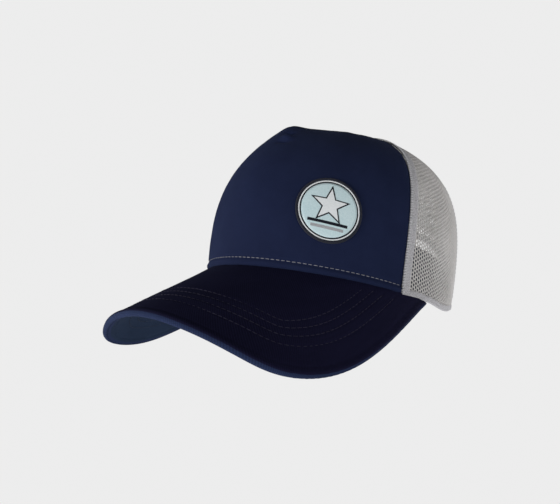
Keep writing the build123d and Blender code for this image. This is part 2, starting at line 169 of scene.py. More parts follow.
def tau_at(phi, s):
    phi, s = np.broadcast_arrays(wrap(phi), np.asarray(s, float))
    a = (phi + math.pi) / (2 * math.pi) * (N_PHI - 1)
    b = np.clip(s / S_MAX * (N_S - 1), 0, N_S - 1.001)
    i, j = np.clip(a.astype(int), 0, N_PHI - 2), b.astype(int)
    u, v = a - i, b - j
    t = _tab_tau
    return ((1 - u) * (1 - v) * t[i, j] + u * (1 - v) * t[i + 1, j]
            + (1 - u) * v * t[i, j + 1] + u * v * t[i + 1, j + 1])


def top_s(phi):
    return np.interp(wrap(phi), _phi_axis, _len)


def on_crown(phi, s, depth=0.0):
    """Point at an angle round the crown and a height up from the rim, below the outer face by depth."""
    tau = tau_at(phi, s)
    return crown(phi, tau) - np.asarray(depth)[..., None] * crown_normal(phi, tau)


def scale_at(phi, s):
    tau = tau_at(phi, s)
    e = 1e-3
    return np.maximum(np.linalg.norm(crown(phi + e, tau) - crown(phi - e, tau), axis=-1) / (2 * e), 0.5)


def front_seam(phi_sign, s):
    """Angle of the front seam at a height up."""
    base = math.radians(FRONT_SEAM_BASE)
    f = np.full_like(np.asarray(s, float), base)
    for _ in range(3):
        f = np.radians(FRONT_SEAM_BASE + FRONT_SEAM_LEAN * tau_at(f, s) / (math.pi / 2))
    return phi_sign * f


# ------------------------------------------------------------------ bill shape
def edge_curve(t):
    c = np.array(BILL_EDGE)
    full = np.vstack([c[::-1][:-1] * [-1, 1, 1], c])
    knots = np.linspace(-1, 1, len(full))
    n, h = len(full), knots[1] - knots[0]
    a, rhs = np.zeros((n, n)), np.zeros((n, 3))
    for i in range(1, n - 1):
        a[i, i - 1:i + 2] = (1, 4, 1)
        rhs[i] = 3 * (full[i + 1] - full[i - 1]) / h
    a[0, :2], a[-1, -2:] = (2, 1), (1, 2)
    rhs[0], rhs[-1] = 3 * (full[1] - full[0]) / h, 3 * (full[-1] - full[-2]) / h
    m = np.linalg.solve(a, rhs)
    t = np.asarray(t, float)
    i = np.clip(((t + 1) / h).astype(int), 0, n - 2)
    s = ((t - knots[i]) / h)[..., None]
    return ((2 * s ** 3 - 3 * s ** 2 + 1) * full[i] + (s ** 3 - 2 * s ** 2 + s) * h * m[i]
            + (-2 * s ** 3 + 3 * s ** 2) * full[i + 1] + (s ** 3 - s ** 2) * h * m[i + 1])


def bill_point(t, w):
    t, w = np.broadcast_arrays(np.asarray(t, float), np.asarray(w, float))
    phi = np.radians(BILL_SEAM_END) * t
    a = crown(phi, np.zeros_like(phi))
    a = a + 0.25 * unit(a * [1, 1, 0])
    return a + (edge_curve(t) - a) * w[..., None]


def bill_normal(t, w):
    e = 1e-3
    n = unit(np.cross(bill_point(t, w + e) - bill_point(t, w - e), bill_point(t + e, w) - bill_point(t - e, w)))
    return np.where(n[..., 2:] < 0, -n, n)


def bill_chord(t):
    return np.linalg.norm(edge_curve(t) - bill_point(t, np.zeros_like(t)), axis=-1)


# ------------------------------------------------------------------ mesh helpers
def make(name, verts_mm, faces, mats, body="cap", face_mat=None, weave=None, smooth=True):
    me = bpy.data.meshes.new(name)
    me.from_pydata([tuple(v) for v in (np.asarray(verts_mm, float) * MM)], [], [tuple(map(int, f)) for f in faces])
    for m in (mats if isinstance(mats, (list, tuple)) else [mats]):
        me.materials.append(m)
    if face_mat is not None:
        me.polygons.foreach_set("material_index", np.asarray(face_mat, np.int32))
    if smooth:
        me.polygons.foreach_set("use_smooth", np.ones(len(me.polygons), bool))
    if weave is not None:
        a = me.attributes.new("weave", "FLOAT_VECTOR", "POINT")
        w = np.zeros((len(verts_mm), 3), np.float32)
        w[:, :weave.shape[1]] = weave
        a.data.foreach_set("vector", w.ravel())
    me.validate()
    me.update()
    ob = bpy.data.objects.new(name, me)
    bpy.context.scene.collection.objects.link(ob)
    if body:
        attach(ob, body)
    return ob


def quads(nu, nv, close_u=False, flip=False, base=0):
    i, j = np.meshgrid(np.arange(nu if close_u else nu - 1), np.arange(nv - 1), indexing="ij")
    a = i * nv + j
    b = ((i + 1) % nu) * nv + j
    q = np.stack([a, b, b + 1, a + 1], -1).reshape(-1, 4) + base
    return q[:, ::-1] if flip else q


def shell(outer, inner, close_u=False):
    """Closed thin body between two matching point grids (nu, nv, 3)."""
    nu, nv = outer.shape[:2]
    v = np.vstack([outer.reshape(-1, 3), inner.reshape(-1, 3)])
    n = nu * nv
    f = [quads(nu, nv, close_u), quads(nu, nv, close_u, flip=True, base=n)]
    def wall(idx):
        idx = np.asarray(idx)
        return np.stack([idx[:-1], idx[1:], idx[1:] + n, idx[:-1] + n], -1)
    ui = np.arange(nu + (1 if close_u else 0)) % nu
    f.append(wall(ui * nv)[:, ::-1])
    f.append(wall(ui * nv + nv - 1))
    if not close_u:
        f.append(wall(np.arange(nv)))
        f.append(wall((nu - 1) * nv + np.arange(nv))[:, ::-1])
    return v, np.vstack(f)


def fix_normals(ob):
    import bmesh
    bm = bmesh.new()
    bm.from_mesh(ob.data)
    bmesh.ops.recalc_face_normals(bm, faces=bm.faces)
    bm.to_mesh(ob.data)
    bm.free()
    ob.data.update()
    return ob


def noise2(x, y, seed=0, octaves=4, base=60.0):
    """Smooth deterministic field of a few sine waves, about -1 to 1."""
    rng = np.random.default_rng(seed)
    out = np.zeros(np.broadcast(x, y).shape)
    amp = 1.0
    total = 0.0
    for o in range(octaves):
        for _ in range(4):
            a = rng.uniform(0, 2 * math.pi)
            k = 2 * math.pi / (base / (1.9 ** o)) * rng.uniform(0.7, 1.3)
            out = out + amp * np.sin(k * (math.cos(a) * x + math.sin(a) * y) + rng.uniform(0, 6.28))
        total += amp * 2.2
        amp *= 0.5
    return out / total


# ------------------------------------------------------------------ materials
def nodes_of(mat):
    mat.use_nodes = True
    nt = mat.node_tree
    return nt, nt.nodes["Principled BSDF"]


def N(nt, kind, **kw):
    n = nt.nodes.new(kind)
    for k, v in kw.items():
        setattr(n, k, v)
    return n


def ramp(nt, fac, stops):
    r = N(nt, "ShaderNodeValToRGB")
    el = r.color_ramp.elements
    el[0].position, el[0].color = stops[0][0], (*stops[0][1], 1)
    el[1].position, el[1].color = stops[-1][0], (*stops[-1][1], 1)
    for p, c in stops[1:-1]:
        e = el.new(p)
        e.color = (*c, 1)
    nt.links.new(fac, r.inputs["Fac"])
    return r.outputs["Color"]


def math_node(nt, op, a, b=None):
    m = N(nt, "ShaderNodeMath", operation=op)
    for k, v in enumerate((a, b)):
        if v is None:
            continue
        if isinstance(v, (int, float)):
            m.inputs[k].default_value = v
        else:
            nt.links.new(v, m.inputs[k])
    return m.outputs[0]


def twill(name, dark, mid, light, rough=0.9, sheen=0.04, rib=0.62, bump=0.4, use_weave=True, mottled=0.5, spec=0.08):
    """Cotton twill: slanted ribs, yarn slubs and soft tonal drift."""
    mat = bpy.data.materials.new(name)
    nt, bsdf = nodes_of(mat)
    if use_weave:
        at = N(nt, "ShaderNodeAttribute", attribute_name="weave")
        vec = at.outputs["Vector"]
    else:
        tc = N(nt, "ShaderNodeTexCoord")
        mp = N(nt, "ShaderNodeMapping")
        mp.inputs["Scale"].default_value = (1000, 1000, 1000)
        nt.links.new(tc.outputs["Object"], mp.inputs["Vector"])
        vec = mp.outputs["Vector"]
    # slanted ribs, one every rib mm
    m1 = N(nt, "ShaderNodeMapping")
    m1.inputs["Rotation"].default_value = (0, 0, math.radians(58))
    nt.links.new(vec, m1.inputs["Vector"])
    w1 = N(nt, "ShaderNodeTexWave", wave_type="BANDS", bands_direction="X", wave_profile="SIN")
    w1.inputs["Scale"].default_value = 2 * math.pi / rib / 20 * 1.0
    w1.inputs["Distortion"].default_value = 0.9
    w1.inputs["Detail"].default_value = 2
    w1.inputs["Detail Scale"].default_value = 2.0
    nt.links.new(m1.outputs[0], w1.inputs["Vector"])
    # filling yarns across
    w2 = N(nt, "ShaderNodeTexWave", wave_type="BANDS", bands_direction="Y", wave_profile="SIN")
    w2.inputs["Scale"].default_value = 2 * math.pi / (rib * 0.7) / 20
    w2.inputs["Distortion"].default_value = 1.2
    nt.links.new(vec, w2.inputs["Vector"])
    n1 = N(nt, "ShaderNodeTexNoise")
    n1.inputs["Scale"].default_value = 0.035
    n1.inputs["Detail"].default_value = 5
    n1.inputs["Roughness"].default_value = 0.62
    nt.links.new(vec, n1.inputs["Vector"])
    n2 = N(nt, "ShaderNodeTexNoise")
    n2.inputs["Scale"].default_value = 1.6
    n2.inputs["Detail"].default_value = 3
    nt.links.new(vec, n2.inputs["Vector"])
    a = math_node(nt, "MULTIPLY", w1.outputs["Fac"], 0.42)
    b = math_node(nt, "MULTIPLY", w2.outputs["Fac"], 0.16)
    c = math_node(nt, "MULTIPLY", n2.outputs["Fac"], 0.22)
    d = math_node(nt, "MULTIPLY", n1.outputs["Fac"], mottled)
    tot = math_node(nt, "ADD", math_node(nt, "ADD", a, b), math_node(nt, "ADD", c, d))
    tot = math_node(nt, "MULTIPLY", tot, 0.78)
    nt.links.new(ramp(nt, tot, [(0.12, dark), (0.5, mid), (0.9, light)]), bsdf.inputs["Base Color"])
    bp = N(nt, "ShaderNodeBump")
    bp.inputs["Strength"].default_value = bump
    bp.inputs["Distance"].default_value = 0.00018
    nt.links.new(math_node(nt, "ADD", math_node(nt, "ADD", a, b), c), bp.inputs["Height"])
    nt.links.new(bp.outputs[0], bsdf.inputs["Normal"])
    bsdf.inputs["Roughness"].default_value = rough
    bsdf.inputs["Specular IOR Level"].default_value = spec
    bsdf.inputs["Sheen Weight"].default_value = sheen
    bsdf.inputs["Sheen Roughness"].default_value = 0.42
    bsdf.inputs["Sheen Tint"].default_value = (0.35, 0.45, 0.8, 1)
    return mat


def yarn(name, dark, light, rough=0.6, sheen=0.08, scale=900.0, bump=0.3):
    """Thread or knit yarn: fine filament streaks."""
    mat = bpy.data.materials.new(name)
    nt, bsdf = nodes_of(mat)
    tc = N(nt, "ShaderNodeTexCoord")
    n1 = N(nt, "ShaderNodeTexNoise")
    n1.inputs["Scale"].default_value = scale
    n1.inputs["Detail"].default_value = 4
    nt.links.new(tc.outputs["Object"], n1.inputs["Vector"])
    n2 = N(nt, "ShaderNodeTexNoise")
    n2.inputs["Scale"].default_value = 28
    n2.inputs["Detail"].default_value = 3
    nt.links.new(tc.outputs["Object"], n2.inputs["Vector"])
    f = math_node(nt, "ADD", math_node(nt, "MULTIPLY", n1.outputs["Fac"], 0.6),
                  math_node(nt, "MULTIPLY", n2.outputs["Fac"], 0.4))
    nt.links.new(ramp(nt, f, [(0.32, dark), (0.68, light)]), bsdf.inputs["Base Color"])
    bp = N(nt, "ShaderNodeBump")
    bp.inputs["Strength"].default_value = bump
    bp.inputs["Distance"].default_value = 0.0001
    nt.links.new(n1.outputs["Fac"], bp.inputs["Height"])
    nt.links.new(bp.outputs[0], bsdf.inputs["Normal"])
    bsdf.inputs["Roughness"].default_value = rough
    bsdf.inputs["Specular IOR Level"].default_value = 0.15
    bsdf.inputs["Sheen Weight"].default_value = sheen
    bsdf.inputs["Sheen Roughness"].default_value = 0.5
    return mat


def knit_strip(name, dark, light):
    """Doubled knit seam allowance: close staggered loops."""
    mat = bpy.data.materials.new(name)
    nt, bsdf = nodes_of(mat)
    at = N(nt, "ShaderNodeAttribute", attribute_name="weave")
    vo = N(nt, "ShaderNodeTexVoronoi", feature="F1")
    vo.inputs["Scale"].default_value = 0.95
    vo.inputs["Randomness"].default_value = 0.35
    nt.links.new(at.outputs["Vector"], vo.inputs["Vector"])
    no = N(nt, "ShaderNodeTexNoise")
    no.inputs["Scale"].default_value = 2.4
    no.inputs["Detail"].default_value = 4
    nt.links.new(at.outputs["Vector"], no.inputs["Vector"])
    f = math_node(nt, "ADD", math_node(nt, "MULTIPLY", vo.outputs["Distance"], 0.75),
                  math_node(nt, "MULTIPLY", no.outputs["Fac"], 0.35))
    nt.links.new(ramp(nt, f, [(0.15, light), (0.85, dark)]), bsdf.inputs["Base Color"])
    bp = N(nt, "ShaderNodeBump")
    bp.invert = True
    bp.inputs["Strength"].default_value = 0.55
    bp.inputs["Distance"].default_value = 0.0003
    nt.links.new(f, bp.inputs["Height"])
    nt.links.new(bp.outputs[0], bsdf.inputs["Normal"])
    bsdf.inputs["Roughness"].default_value = 0.7
    bsdf.inputs["Sheen Weight"].default_value = 0.05
    return mat


def plastic(name, base, rough=0.38):
    mat = bpy.data.materials.new(name)
    nt, bsdf = nodes_of(mat)
    tc = N(nt, "ShaderNodeTexCoord")
    n1 = N(nt, "ShaderNodeTexNoise")
    n1.inputs["Scale"].default_value = 260
    n1.inputs["Detail"].default_value = 5
    nt.links.new(tc.outputs["Object"], n1.inputs["Vector"])
    lo = tuple(c * 0.88 for c in base)
    hi = tuple(min(1, c * 1.08) for c in base)
    nt.links.new(ramp(nt, n1.outputs["Fac"], [(0.3, lo), (0.7, hi)]), bsdf.inputs["Base Color"])
    rr = N(nt, "ShaderNodeMapRange")
    rr.inputs["To Min"].default_value, rr.inputs["To Max"].default_value = rough - 0.07, rough + 0.12
    nt.links.new(n1.outputs["Fac"], rr.inputs["Value"])
    nt.links.new(rr.outputs[0], bsdf.inputs["Roughness"])
    bp = N(nt, "ShaderNodeBump")
    bp.inputs["Strength"].default_value = 0.12
    bp.inputs["Distance"].default_value = 0.0001
    nt.links.new(n1.outputs["Fac"], bp.inputs["Height"])
    nt.links.new(bp.outputs[0], bsdf.inputs["Normal"])
    return mat


NAVY = twill("navy_twill", (0.0066, 0.0100, 0.030), (0.0112, 0.0168, 0.0505), (0.0212, 0.0312, 0.083))
# bill top: the navy cloth painted darker, painted shade for the little light that reaches the upper face
BILL_TOP_PAINTED_SHADE = twill("bill_twill_painted_shade", (0.0058, 0.0057, 0.0185), (0.0095, 0.0091, 0.0297), (0.0172, 0.0169, 0.0502), sheen=0.01, spec=0.05)
# bill underside: the navy cloth painted lighter and bluer, painted light from below added on top of the lamps' light
UNDER_PAINTED_LIGHT = twill("under_twill_painted_light", (0.0092, 0.0161, 0.0331), (0.0147, 0.0262, 0.0552), (0.0248, 0.0414, 0.0810), sheen=0.02)
# rolled bill edge: the navy cloth painted lighter, a painted highlight for the low light catching the bead
EDGE_PAINTED_HIGHLIGHT = twill("edge_twill_painted_highlight", (0.010, 0.016, 0.042), (0.016, 0.025, 0.066), (0.026, 0.040, 0.100), sheen=0.04, bump=0.18)
BAND = twill("band_twill", (0.008, 0.011, 0.034), (0.013, 0.018, 0.054), (0.025, 0.033, 0.085), rib=0.45)
MESH = yarn("mesh_yarn", (0.43, 0.415, 0.405), (0.70, 0.68, 0.67), sheen=0.02)
STRIP = knit_strip("mesh_strip", (0.20, 0.195, 0.212), (0.74, 0.73, 0.76))
THREAD_LIGHT = yarn("thread_light", (0.20, 0.20, 0.23), (0.34, 0.34, 0.38), rough=0.6, scale=2600, sheen=0.05)
THREAD_PALE = yarn("thread_pale", (0.50, 0.50, 0.52), (0.84, 0.84, 0.86), rough=0.6, scale=2600, sheen=0.03)
THREAD_BILL = yarn("thread_bill", (0.018, 0.0165, 0.036), (0.034, 0.031, 0.066), rough=0.55, scale=2600, sheen=0.0)
THREAD_NAVY = yarn("thread_navy", (0.016, 0.024, 0.046), (0.030, 0.042, 0.078), rough=0.55, scale=2600, sheen=0.03)
THREAD_GREY = yarn("thread_grey", (0.45, 0.45, 0.46), (0.70, 0.70, 0.71), rough=0.5, scale=2600)
TAPE = yarn("woven_tape", (0.38, 0.38, 0.39), (0.55, 0.55, 0.56), rough=0.8, scale=1400, bump=0.5)
BUCKRAM = yarn("buckram", (0.62, 0.62, 0.60), (0.82, 0.82, 0.79), rough=0.9, scale=800, bump=0.8)
FOAM = yarn("foam", (0.60, 0.60, 0.56), (0.78, 0.78, 0.73), rough=0.95, scale=1800, bump=0.8)
LABEL = yarn("label_satin", (0.72, 0.72, 0.72), (0.86, 0.86, 0.86), rough=0.35, scale=1500)
SNAP = plastic("snap_plastic", (0.50, 0.50, 0.515))
BOARDM = plastic("board_plastic", (0.10, 0.10, 0.11), 0.5)
STEEL = plastic("pressed_steel", (0.55, 0.55, 0.56), 0.3)
STEEL.node_tree.nodes["Principled BSDF"].inputs["Metallic"].default_value = 1.0
B_WHITE = yarn("badge_white", (0.76, 0.80, 0.82), (0.90, 0.93, 0.94), rough=0.55, scale=1200)
B_PALE = yarn("badge_pale", (0.52, 0.70, 0.74), (0.70, 0.84, 0.87), rough=0.55, scale=1200)
B_DARK = yarn("badge_dark", (0.006, 0.007, 0.012), (0.016, 0.018, 0.028), rough=0.6, scale=1200)
B_RIM = yarn("badge_rim", (0.010, 0.011, 0.018), (0.030, 0.033, 0.048), rough=0.6, scale=1600)
B_GREY = yarn("badge_grey", (0.30, 0.31, 0.33), (0.46, 0.47, 0.49), rough=0.6, scale=1200)

# ------------------------------------------------------------------ camera
AZ, EL, ROLL, DIST = math.radians(40.76), math.radians(-5.028), math.radians(4.819), 400.0
back = np.array([math.sin(AZ) * math.cos(EL), -math.cos(AZ) * math.cos(EL), math.sin(EL)])
right = np.array([math.cos(AZ), math.sin(AZ), 0.0])
upv = np.cross(back, right)
cam_r = math.cos(ROLL) * right + math.sin(ROLL) * upv
cam_u = -math.sin(ROLL) * right + math.cos(ROLL) * upv
cam_at = np.array([0, -30.0, 22.0]) + DIST * back
cam_data = bpy.data.cameras.new("camera")
cam = bpy.data.objects.new("camera", cam_data)
bpy.context.scene.collection.objects.link(cam)
cam.matrix_world = Matrix([[cam_r[i], cam_u[i], back[i], cam_at[i] * MM] for i in range(3)] + [[0, 0, 0, 1]])
cam_data.sensor_width = 36.0
cam_data.lens = 571.103 / 560 * 36.0
cam_data.shift_x = -(311.155 - 280) / 560
cam_data.shift_y = (259.294 - 252) / 560
cam_data.clip_start, cam_data.clip_end = 0.01, 60
bpy.context.scene.camera = cam


# ------------------------------------------------------------------ stitches
def stitches(name, pts, nrm, mat, length=2.6, gap=0.7, r=0.24, body="cap", sink=0.0, sides=6, slant=0.0):
    """A row of lock stitches along a line of points (mm): each one a rounded length of thread."""
    pts, nrm = np.asarray(pts, float), unit(np.asarray(nrm, float))
    d = np.concatenate([[0], np.cumsum(np.linalg.norm(np.diff(pts, axis=0), axis=1))])
    total = d[-1]
    n = max(1, int(total / (length + gap)))
    step = total / n
    ln = step - gap
    prof = np.array([(0.0, 0.12), (0.05, 0.62), (0.16, 0.95), (0.5, 1.08), (0.84, 0.95), (0.95, 0.62), (1.0, 0.12)])
    k = len(prof)
    verts, faces = [], []
    at = lambda arr, q: np.stack([np.interp(q, d, arr[:, c]) for c in range(3)], -1)
    ang = np.linspace(0, 2 * math.pi, sides, endpoint=False)
    for i in range(n):
        q = i * step + gap / 2 + prof[:, 0] * ln
        c, m = at(pts, q), unit(at(nrm, q))
        t = unit(np.gradient(c, axis=0))
        b = unit(np.cross(t, m))
        m = unit(np.cross(b, t))
        lift = (r * 0.35 - sink) + r * 0.5 * np.sin(math.pi * prof[:, 0])
        c = c + m * lift[:, None] + b * (slant * (prof[:, 0] - 0.5))[:, None]
        if slant:
            b = unit(np.cross(unit(np.gradient(c, axis=0)), m))
        rr = r * prof[:, 1]
        ring = (c[:, None] + rr[:, None, None] * (np.cos(ang)[None, :, None] * b[:, None]
                + 0.8 * np.sin(ang)[None, :, None] * m[:, None]))
        base = len(verts) * 1
        verts.extend(ring.reshape(-1, 3))
        for a in range(k - 1):
            for s in range(sides):
                p0 = base + a * sides + s
                p1 = base + a * sides + (s + 1) % sides
                faces.append((p0, p1, p1 + sides, p0 + sides))
        faces.append(tuple(base + s for s in range(sides))[::-1])
        faces.append(tuple(base + (k - 1) * sides + s for s in range(sides)))
    return make(name, np.array(verts), faces, mat, body)


def crown_row(name, phi, s, mat, depth=0.0, **kw):
    tau = tau_at(phi, s)
    n = crown_normal(phi, tau)
    return stitches(name, crown(phi, tau) - depth * n, n, mat, **kw)


# ------------------------------------------------------------------ front panel
def panel_grid(lo, hi, nu, s_list_fn, inset=0.0):
    """Evenly spaced fractions from 0 to 1 across a panel: lo and hi are not used."""
    u = np.linspace(0, 1, nu)
    phi0 = np.array([0.0])
    return u


def grid_between(lo_fn, hi_fn, nu, nv, s0=0.0, top_r=3.2, s1=None, inset=0.0):
    phis, ss = [], []
    for u in np.linspace(0, 1, nu):
        mid = (1 - u) * lo_fn(np.array([40.0]))[0] + u * hi_fn(np.array([40.0]))[0]
        smax = float(top_s(mid)) - top_r if s1 is None else s1
        s = np.linspace(s0, smax, nv)
        for _ in range(2):
            a, b = lo_fn(s), hi_fn(s)
            ph = a + (b - a) * u
            if inset:
                ph = ph + inset * (1 - 2 * u) / scale_at(ph, s)
            if s1 is None:
                smax = float(top_s(ph[-1])) - top_r
                s = np.linspace(s0, smax, nv)
        phis.append(ph)
        ss.append(s)
    return np.array(phis), np.array(ss)


lo_f, hi_f = (lambda s: front_seam(-1, s)), (lambda s: front_seam(1, s))
PH, SS = grid_between(lo_f, hi_f, 221, 161)
lat = PH * scale_at(PH * 0 + PH, np.full_like(SS, 25.0))
# soft cloth relief: slight waviness, a roll where the panel turns under at the bill and at the seams
relief = 0.28 * noise2(lat, SS, 3, 3, 75) + 0.07 * noise2(lat, SS, 5, 3, 18)
edge_d = np.minimum(np.linspace(0, 1, 221)[:, None] * 190, (1 - np.linspace(0, 1, 221)[:, None]) * 190) + SS * 0
relief = relief - 0.75 * np.exp(-(edge_d / 1.6) ** 2)
stitch_h = 5.2
relief = relief - 0.60 * np.exp(-((SS - stitch_h) / 0.9) ** 2) + 0.75 * np.exp(-((SS - 2.7) / 1.5) ** 2)
relief = relief - 1.0 * np.exp(-(SS / 0.9) ** 2)
# the short dart from the peak towards the button
X0 = crown(PH, tau_at(PH, SS))
dart = np.exp(-np.abs(X0[..., 0]) / 1.3) * np.clip((X0[..., 1] + 75) / 8, 0, 1) * np.clip(-(X0[..., 1] + 6) / 8, 0, 1)
relief = relief - 0.55 * dart
def pinch(phi, s):
    """The puckered end of the dart at the front of the peak: a small knuckle between two creases."""
    a = (phi - math.radians(8.0)) * 57.0
    knuckle = 2.0 * np.exp(-(a / 3.6) ** 2 - ((s - 93.5) / 2.3) ** 2)
    above = 1.7 * np.exp(-(a / 3.2) ** 2 - ((s - 98.8) / 1.9) ** 2)
    below = 1.5 * np.exp(-(a / 4.6) ** 2 - ((s - 88.9) / 1.8) ** 2)
    return knuckle - above - below


relief = relief + pinch(PH, SS)
outer = on_crown(PH, SS, -relief)
inner = on_crown(PH, SS, 0.85 - relief)
v, f = shell(outer, inner)
wv = np.stack([lat.ravel(), SS.ravel()], -1)
front = fix_normals(make("front_panel_cloth", v, f, NAVY, weave=np.vstack([wv, wv])))
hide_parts("front_panel")

# stiff backing behind it
PB, SB = grid_between(lo_f, hi_f, 121, 91, s0=1.0, inset=0.9, top_r=3.5)
sink = 0.35 - 1.1 * np.minimum(pinch(PB, SB), 0.0)
v, f = shell(on_crown(PB, SB, 1.5 + sink), on_crown(PB, SB, 2.4 + sink))
o = fix_normals(make("front_backing_cloth", v, f, BUCKRAM))
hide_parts("front_backing")

# topstitch over the bill seam
tt = np.linspace(-0.985, 0.985, 400)
ss_ = np.full_like(tt, stitch_h)
crown_row("front_topstitch", front_seam(1, ss_) * tt, ss_, THREAD_LIGHT, length=2.3, gap=0.9, r=0.20, sink=0.32)


# ------------------------------------------------------------------ mesh panels
PITCH_X, PITCH_Y = 2.1, 2.5


def arch_inside(p, grow=0.0):
    a, b = ARCH_HALF_W + grow, ARCH_TOP - ARCH_Z0 + grow
    z = np.maximum(p[..., 2] - ARCH_Z0, 0)
    return (p[..., 1] > 0) & ((p[..., 0] / a) ** 2 + (z / b) ** 2 < 1)


def lattice(name, lo_fn, hi_fn, node, margin=2.6, bottom=3.4):
    """Open knit: staggered holes with rounded yarns between them, cut to the panel."""
    centre = 0.5 * (lo_fn(np.array([30.0]))[0] + hi_fn(np.array([30.0]))[0])
    smax = float(top_s(centre)) - 4.0
    half_w = 62.0
    cols = np.arange(-int(half_w / PITCH_X), int(half_w / PITCH_X) + 1)
    rows = np.arange(int(bottom / PITCH_Y) - 2, int(smax / PITCH_Y) + 2)
    cx, cy = np.meshgrid(cols * PITCH_X, rows * PITCH_Y, indexing="ij")
    cy = cy + (np.abs(cols)[:, None] % 2) * PITCH_Y / 2
    cx, cy = cx.ravel(), cy.ravel()
    def to_phi(x, y):
        return phi_from_arc(centre, x, y)
    ph = to_phi(cx, cy)
    sc = scale_at(ph, np.minimum(cy, top_s(ph) - 1.5))
    inside = ((ph - lo_fn(cy)) * sc > margin) & ((hi_fn(cy) - ph) * sc > margin) & (cy > bottom) & (cy < top_s(ph) - 9.0)
    pts = on_crown(ph, cy, np.zeros_like(cy))
    inside &= ~arch_inside(pts, 3.5)
    cx, cy = cx[inside], cy[inside]
    # one cell: hexagon boundary, a raised yarn ring, a hole ring
    hx, hy = PITCH_X / 2, PITCH_Y / 2
    # boundary of a staggered cell: a hexagon shared with six neighbours
    q = PITCH_X * 2 / 3
    hexp = np.array([(q, 0), (q / 2, hy), (-q / 2, hy), (-q, 0), (-q / 2, -hy), (q / 2, -hy)])
    bound = []
    for i in range(6):
        a, b = hexp[i], hexp[(i + 1) % 6]
        bound += [a, (a + b) / 2]
    bound = np.array(bound)
    ang = np.arctan2(bound[:, 1], bound[:, 0])
    hole_r = np.stack([0.71 * np.cos(ang), 0.91 * np.sin(ang)], -1)
    mid_r = bound * 0.45 + hole_r * 0.55
    m = len(bound)
    rings_top = [(bound, 0.16), (mid_r, 0.02), (hole_r * 1.06, 0.16), (hole_r, 0.34)]
    rings_bot = [(hole_r * 1.06, 0.52), (mid_r, 0.66), (bound, 0.52)]
    rings = rings_top + rings_bot
    xs = np.concatenate([cx[:, None] + r[None, :, 0] for r, _ in rings], 1)
    ys = np.concatenate([cy[:, None] + r[None, :, 1] for r, _ in rings], 1)
    dep = np.concatenate([np.full((len(cx), m), d_) for _, d_ in rings], 1)
    key = np.floor(np.stack([xs.ravel() / 0.05 + 0.27, ys.ravel() / 0.05 + 0.27, dep.ravel() / 0.01 + 0.5], -1)).astype(np.int64)
    uniq, first, inv = np.unique(key, axis=0, return_index=True, return_inverse=True)
    inv = inv.ravel()
    X, Y, D = xs.ravel()[first], ys.ravel()[first], dep.ravel()[first]
    phv = to_phi(X, Y)
    V = on_crown(phv, Y, D + 0.0)
    nr = len(rings)
    idx = inv.reshape(len(cx), nr, m)
    F = []
    for k in range(nr - 1):
        a = idx[:, k]
        b = idx[:, k + 1]
        a2, b2 = np.roll(a, -1, 1), np.roll(b, -1, 1)
        F.append(np.stack([a, a2, b2, b], -1).reshape(-1, 4))
    F = np.vstack(F)
    # close the outer rim of the sheet
    top = idx[:, 0]
    bot = idx[:, nr - 1]
    e = np.stack([top, np.roll(top, -1, 1), np.roll(bot, -1, 1), bot], -1).reshape(-1, 4)
    lo_e = np.minimum(e[:, 0], e[:, 1])
    hi_e = np.maximum(e[:, 0], e[:, 1])
    code = lo_e.astype(np.int64) * 10 ** 7 + hi_e
    u_, c_ = np.unique(code, return_counts=True)
    e = e[np.isin(code, u_[c_ == 1])]
    F = np.vstack([F, e[:, ::-1]])
    ok = np.array([len(set(q_)) == 4 for q_ in F.tolist()])
    ob = make(name, V, F[ok], MESH)
    fix_normals(ob)
    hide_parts(node)
    return ob


def side_fn(deg):
    return lambda s: np.full_like(np.asarray(s, float), math.radians(deg))


lattice("mesh_side_left_knit", hi_f, side_fn(SIDE_SEAM), "mesh_side_left")
lattice("mesh_side_right_knit", side_fn(-SIDE_SEAM), lo_f, "mesh_side_right")
lattice("mesh_back_left_knit", side_fn(SIDE_SEAM), side_fn(180), "mesh_back_left")
lattice("mesh_back_right_knit", side_fn(-180), side_fn(-SIDE_SEAM), "mesh_back_right")


# ------------------------------------------------------------------ seam strips on the mesh
def strip(name, line_fn, a, b, s0, s1_off, nv=140, depth=(-0.12, 0.75), cells=7, taper=True):
    """Flat band beside a seam: from a to b mm round the crown from the seam line."""
    smax = float(top_s(line_fn(np.array([60.0]))[0])) - s1_off
    s = np.linspace(s0, smax, nv)
    rows_o, rows_i, ww = [], [], []
    for w in np.linspace(a, b, cells):
        ph = line_fn(s)
        sc = scale_at(ph, np.minimum(s, top_s(ph) - 1.0))
        k = np.clip((top_s(ph) - s - 1) / 16.0, 0.25, 1) if taper else 1.0
        ph2 = ph + w * k / sc
        e = abs(w - a) / abs(b - a)
        puff = 0.10 * math.sin(math.pi * e)
        ruffle = 0.05 * np.sin(s * 2.1 + w)
        rows_o.append(on_crown(ph2, s, np.full_like(s, depth[0] + 0.22 * (e in (0.0, 1.0))) - puff - ruffle))
        rows_i.append(on_crown(ph2, s, np.full_like(s, depth[1])))
        ww.append(np.stack([np.full_like(s, w), s], -1))
    v, f = shell(np.array(rows_o), np.array(rows_i))
    wv = np.vstack(ww)
    return fix_normals(make(name, v, f, STRIP, weave=np.vstack([wv, wv])))


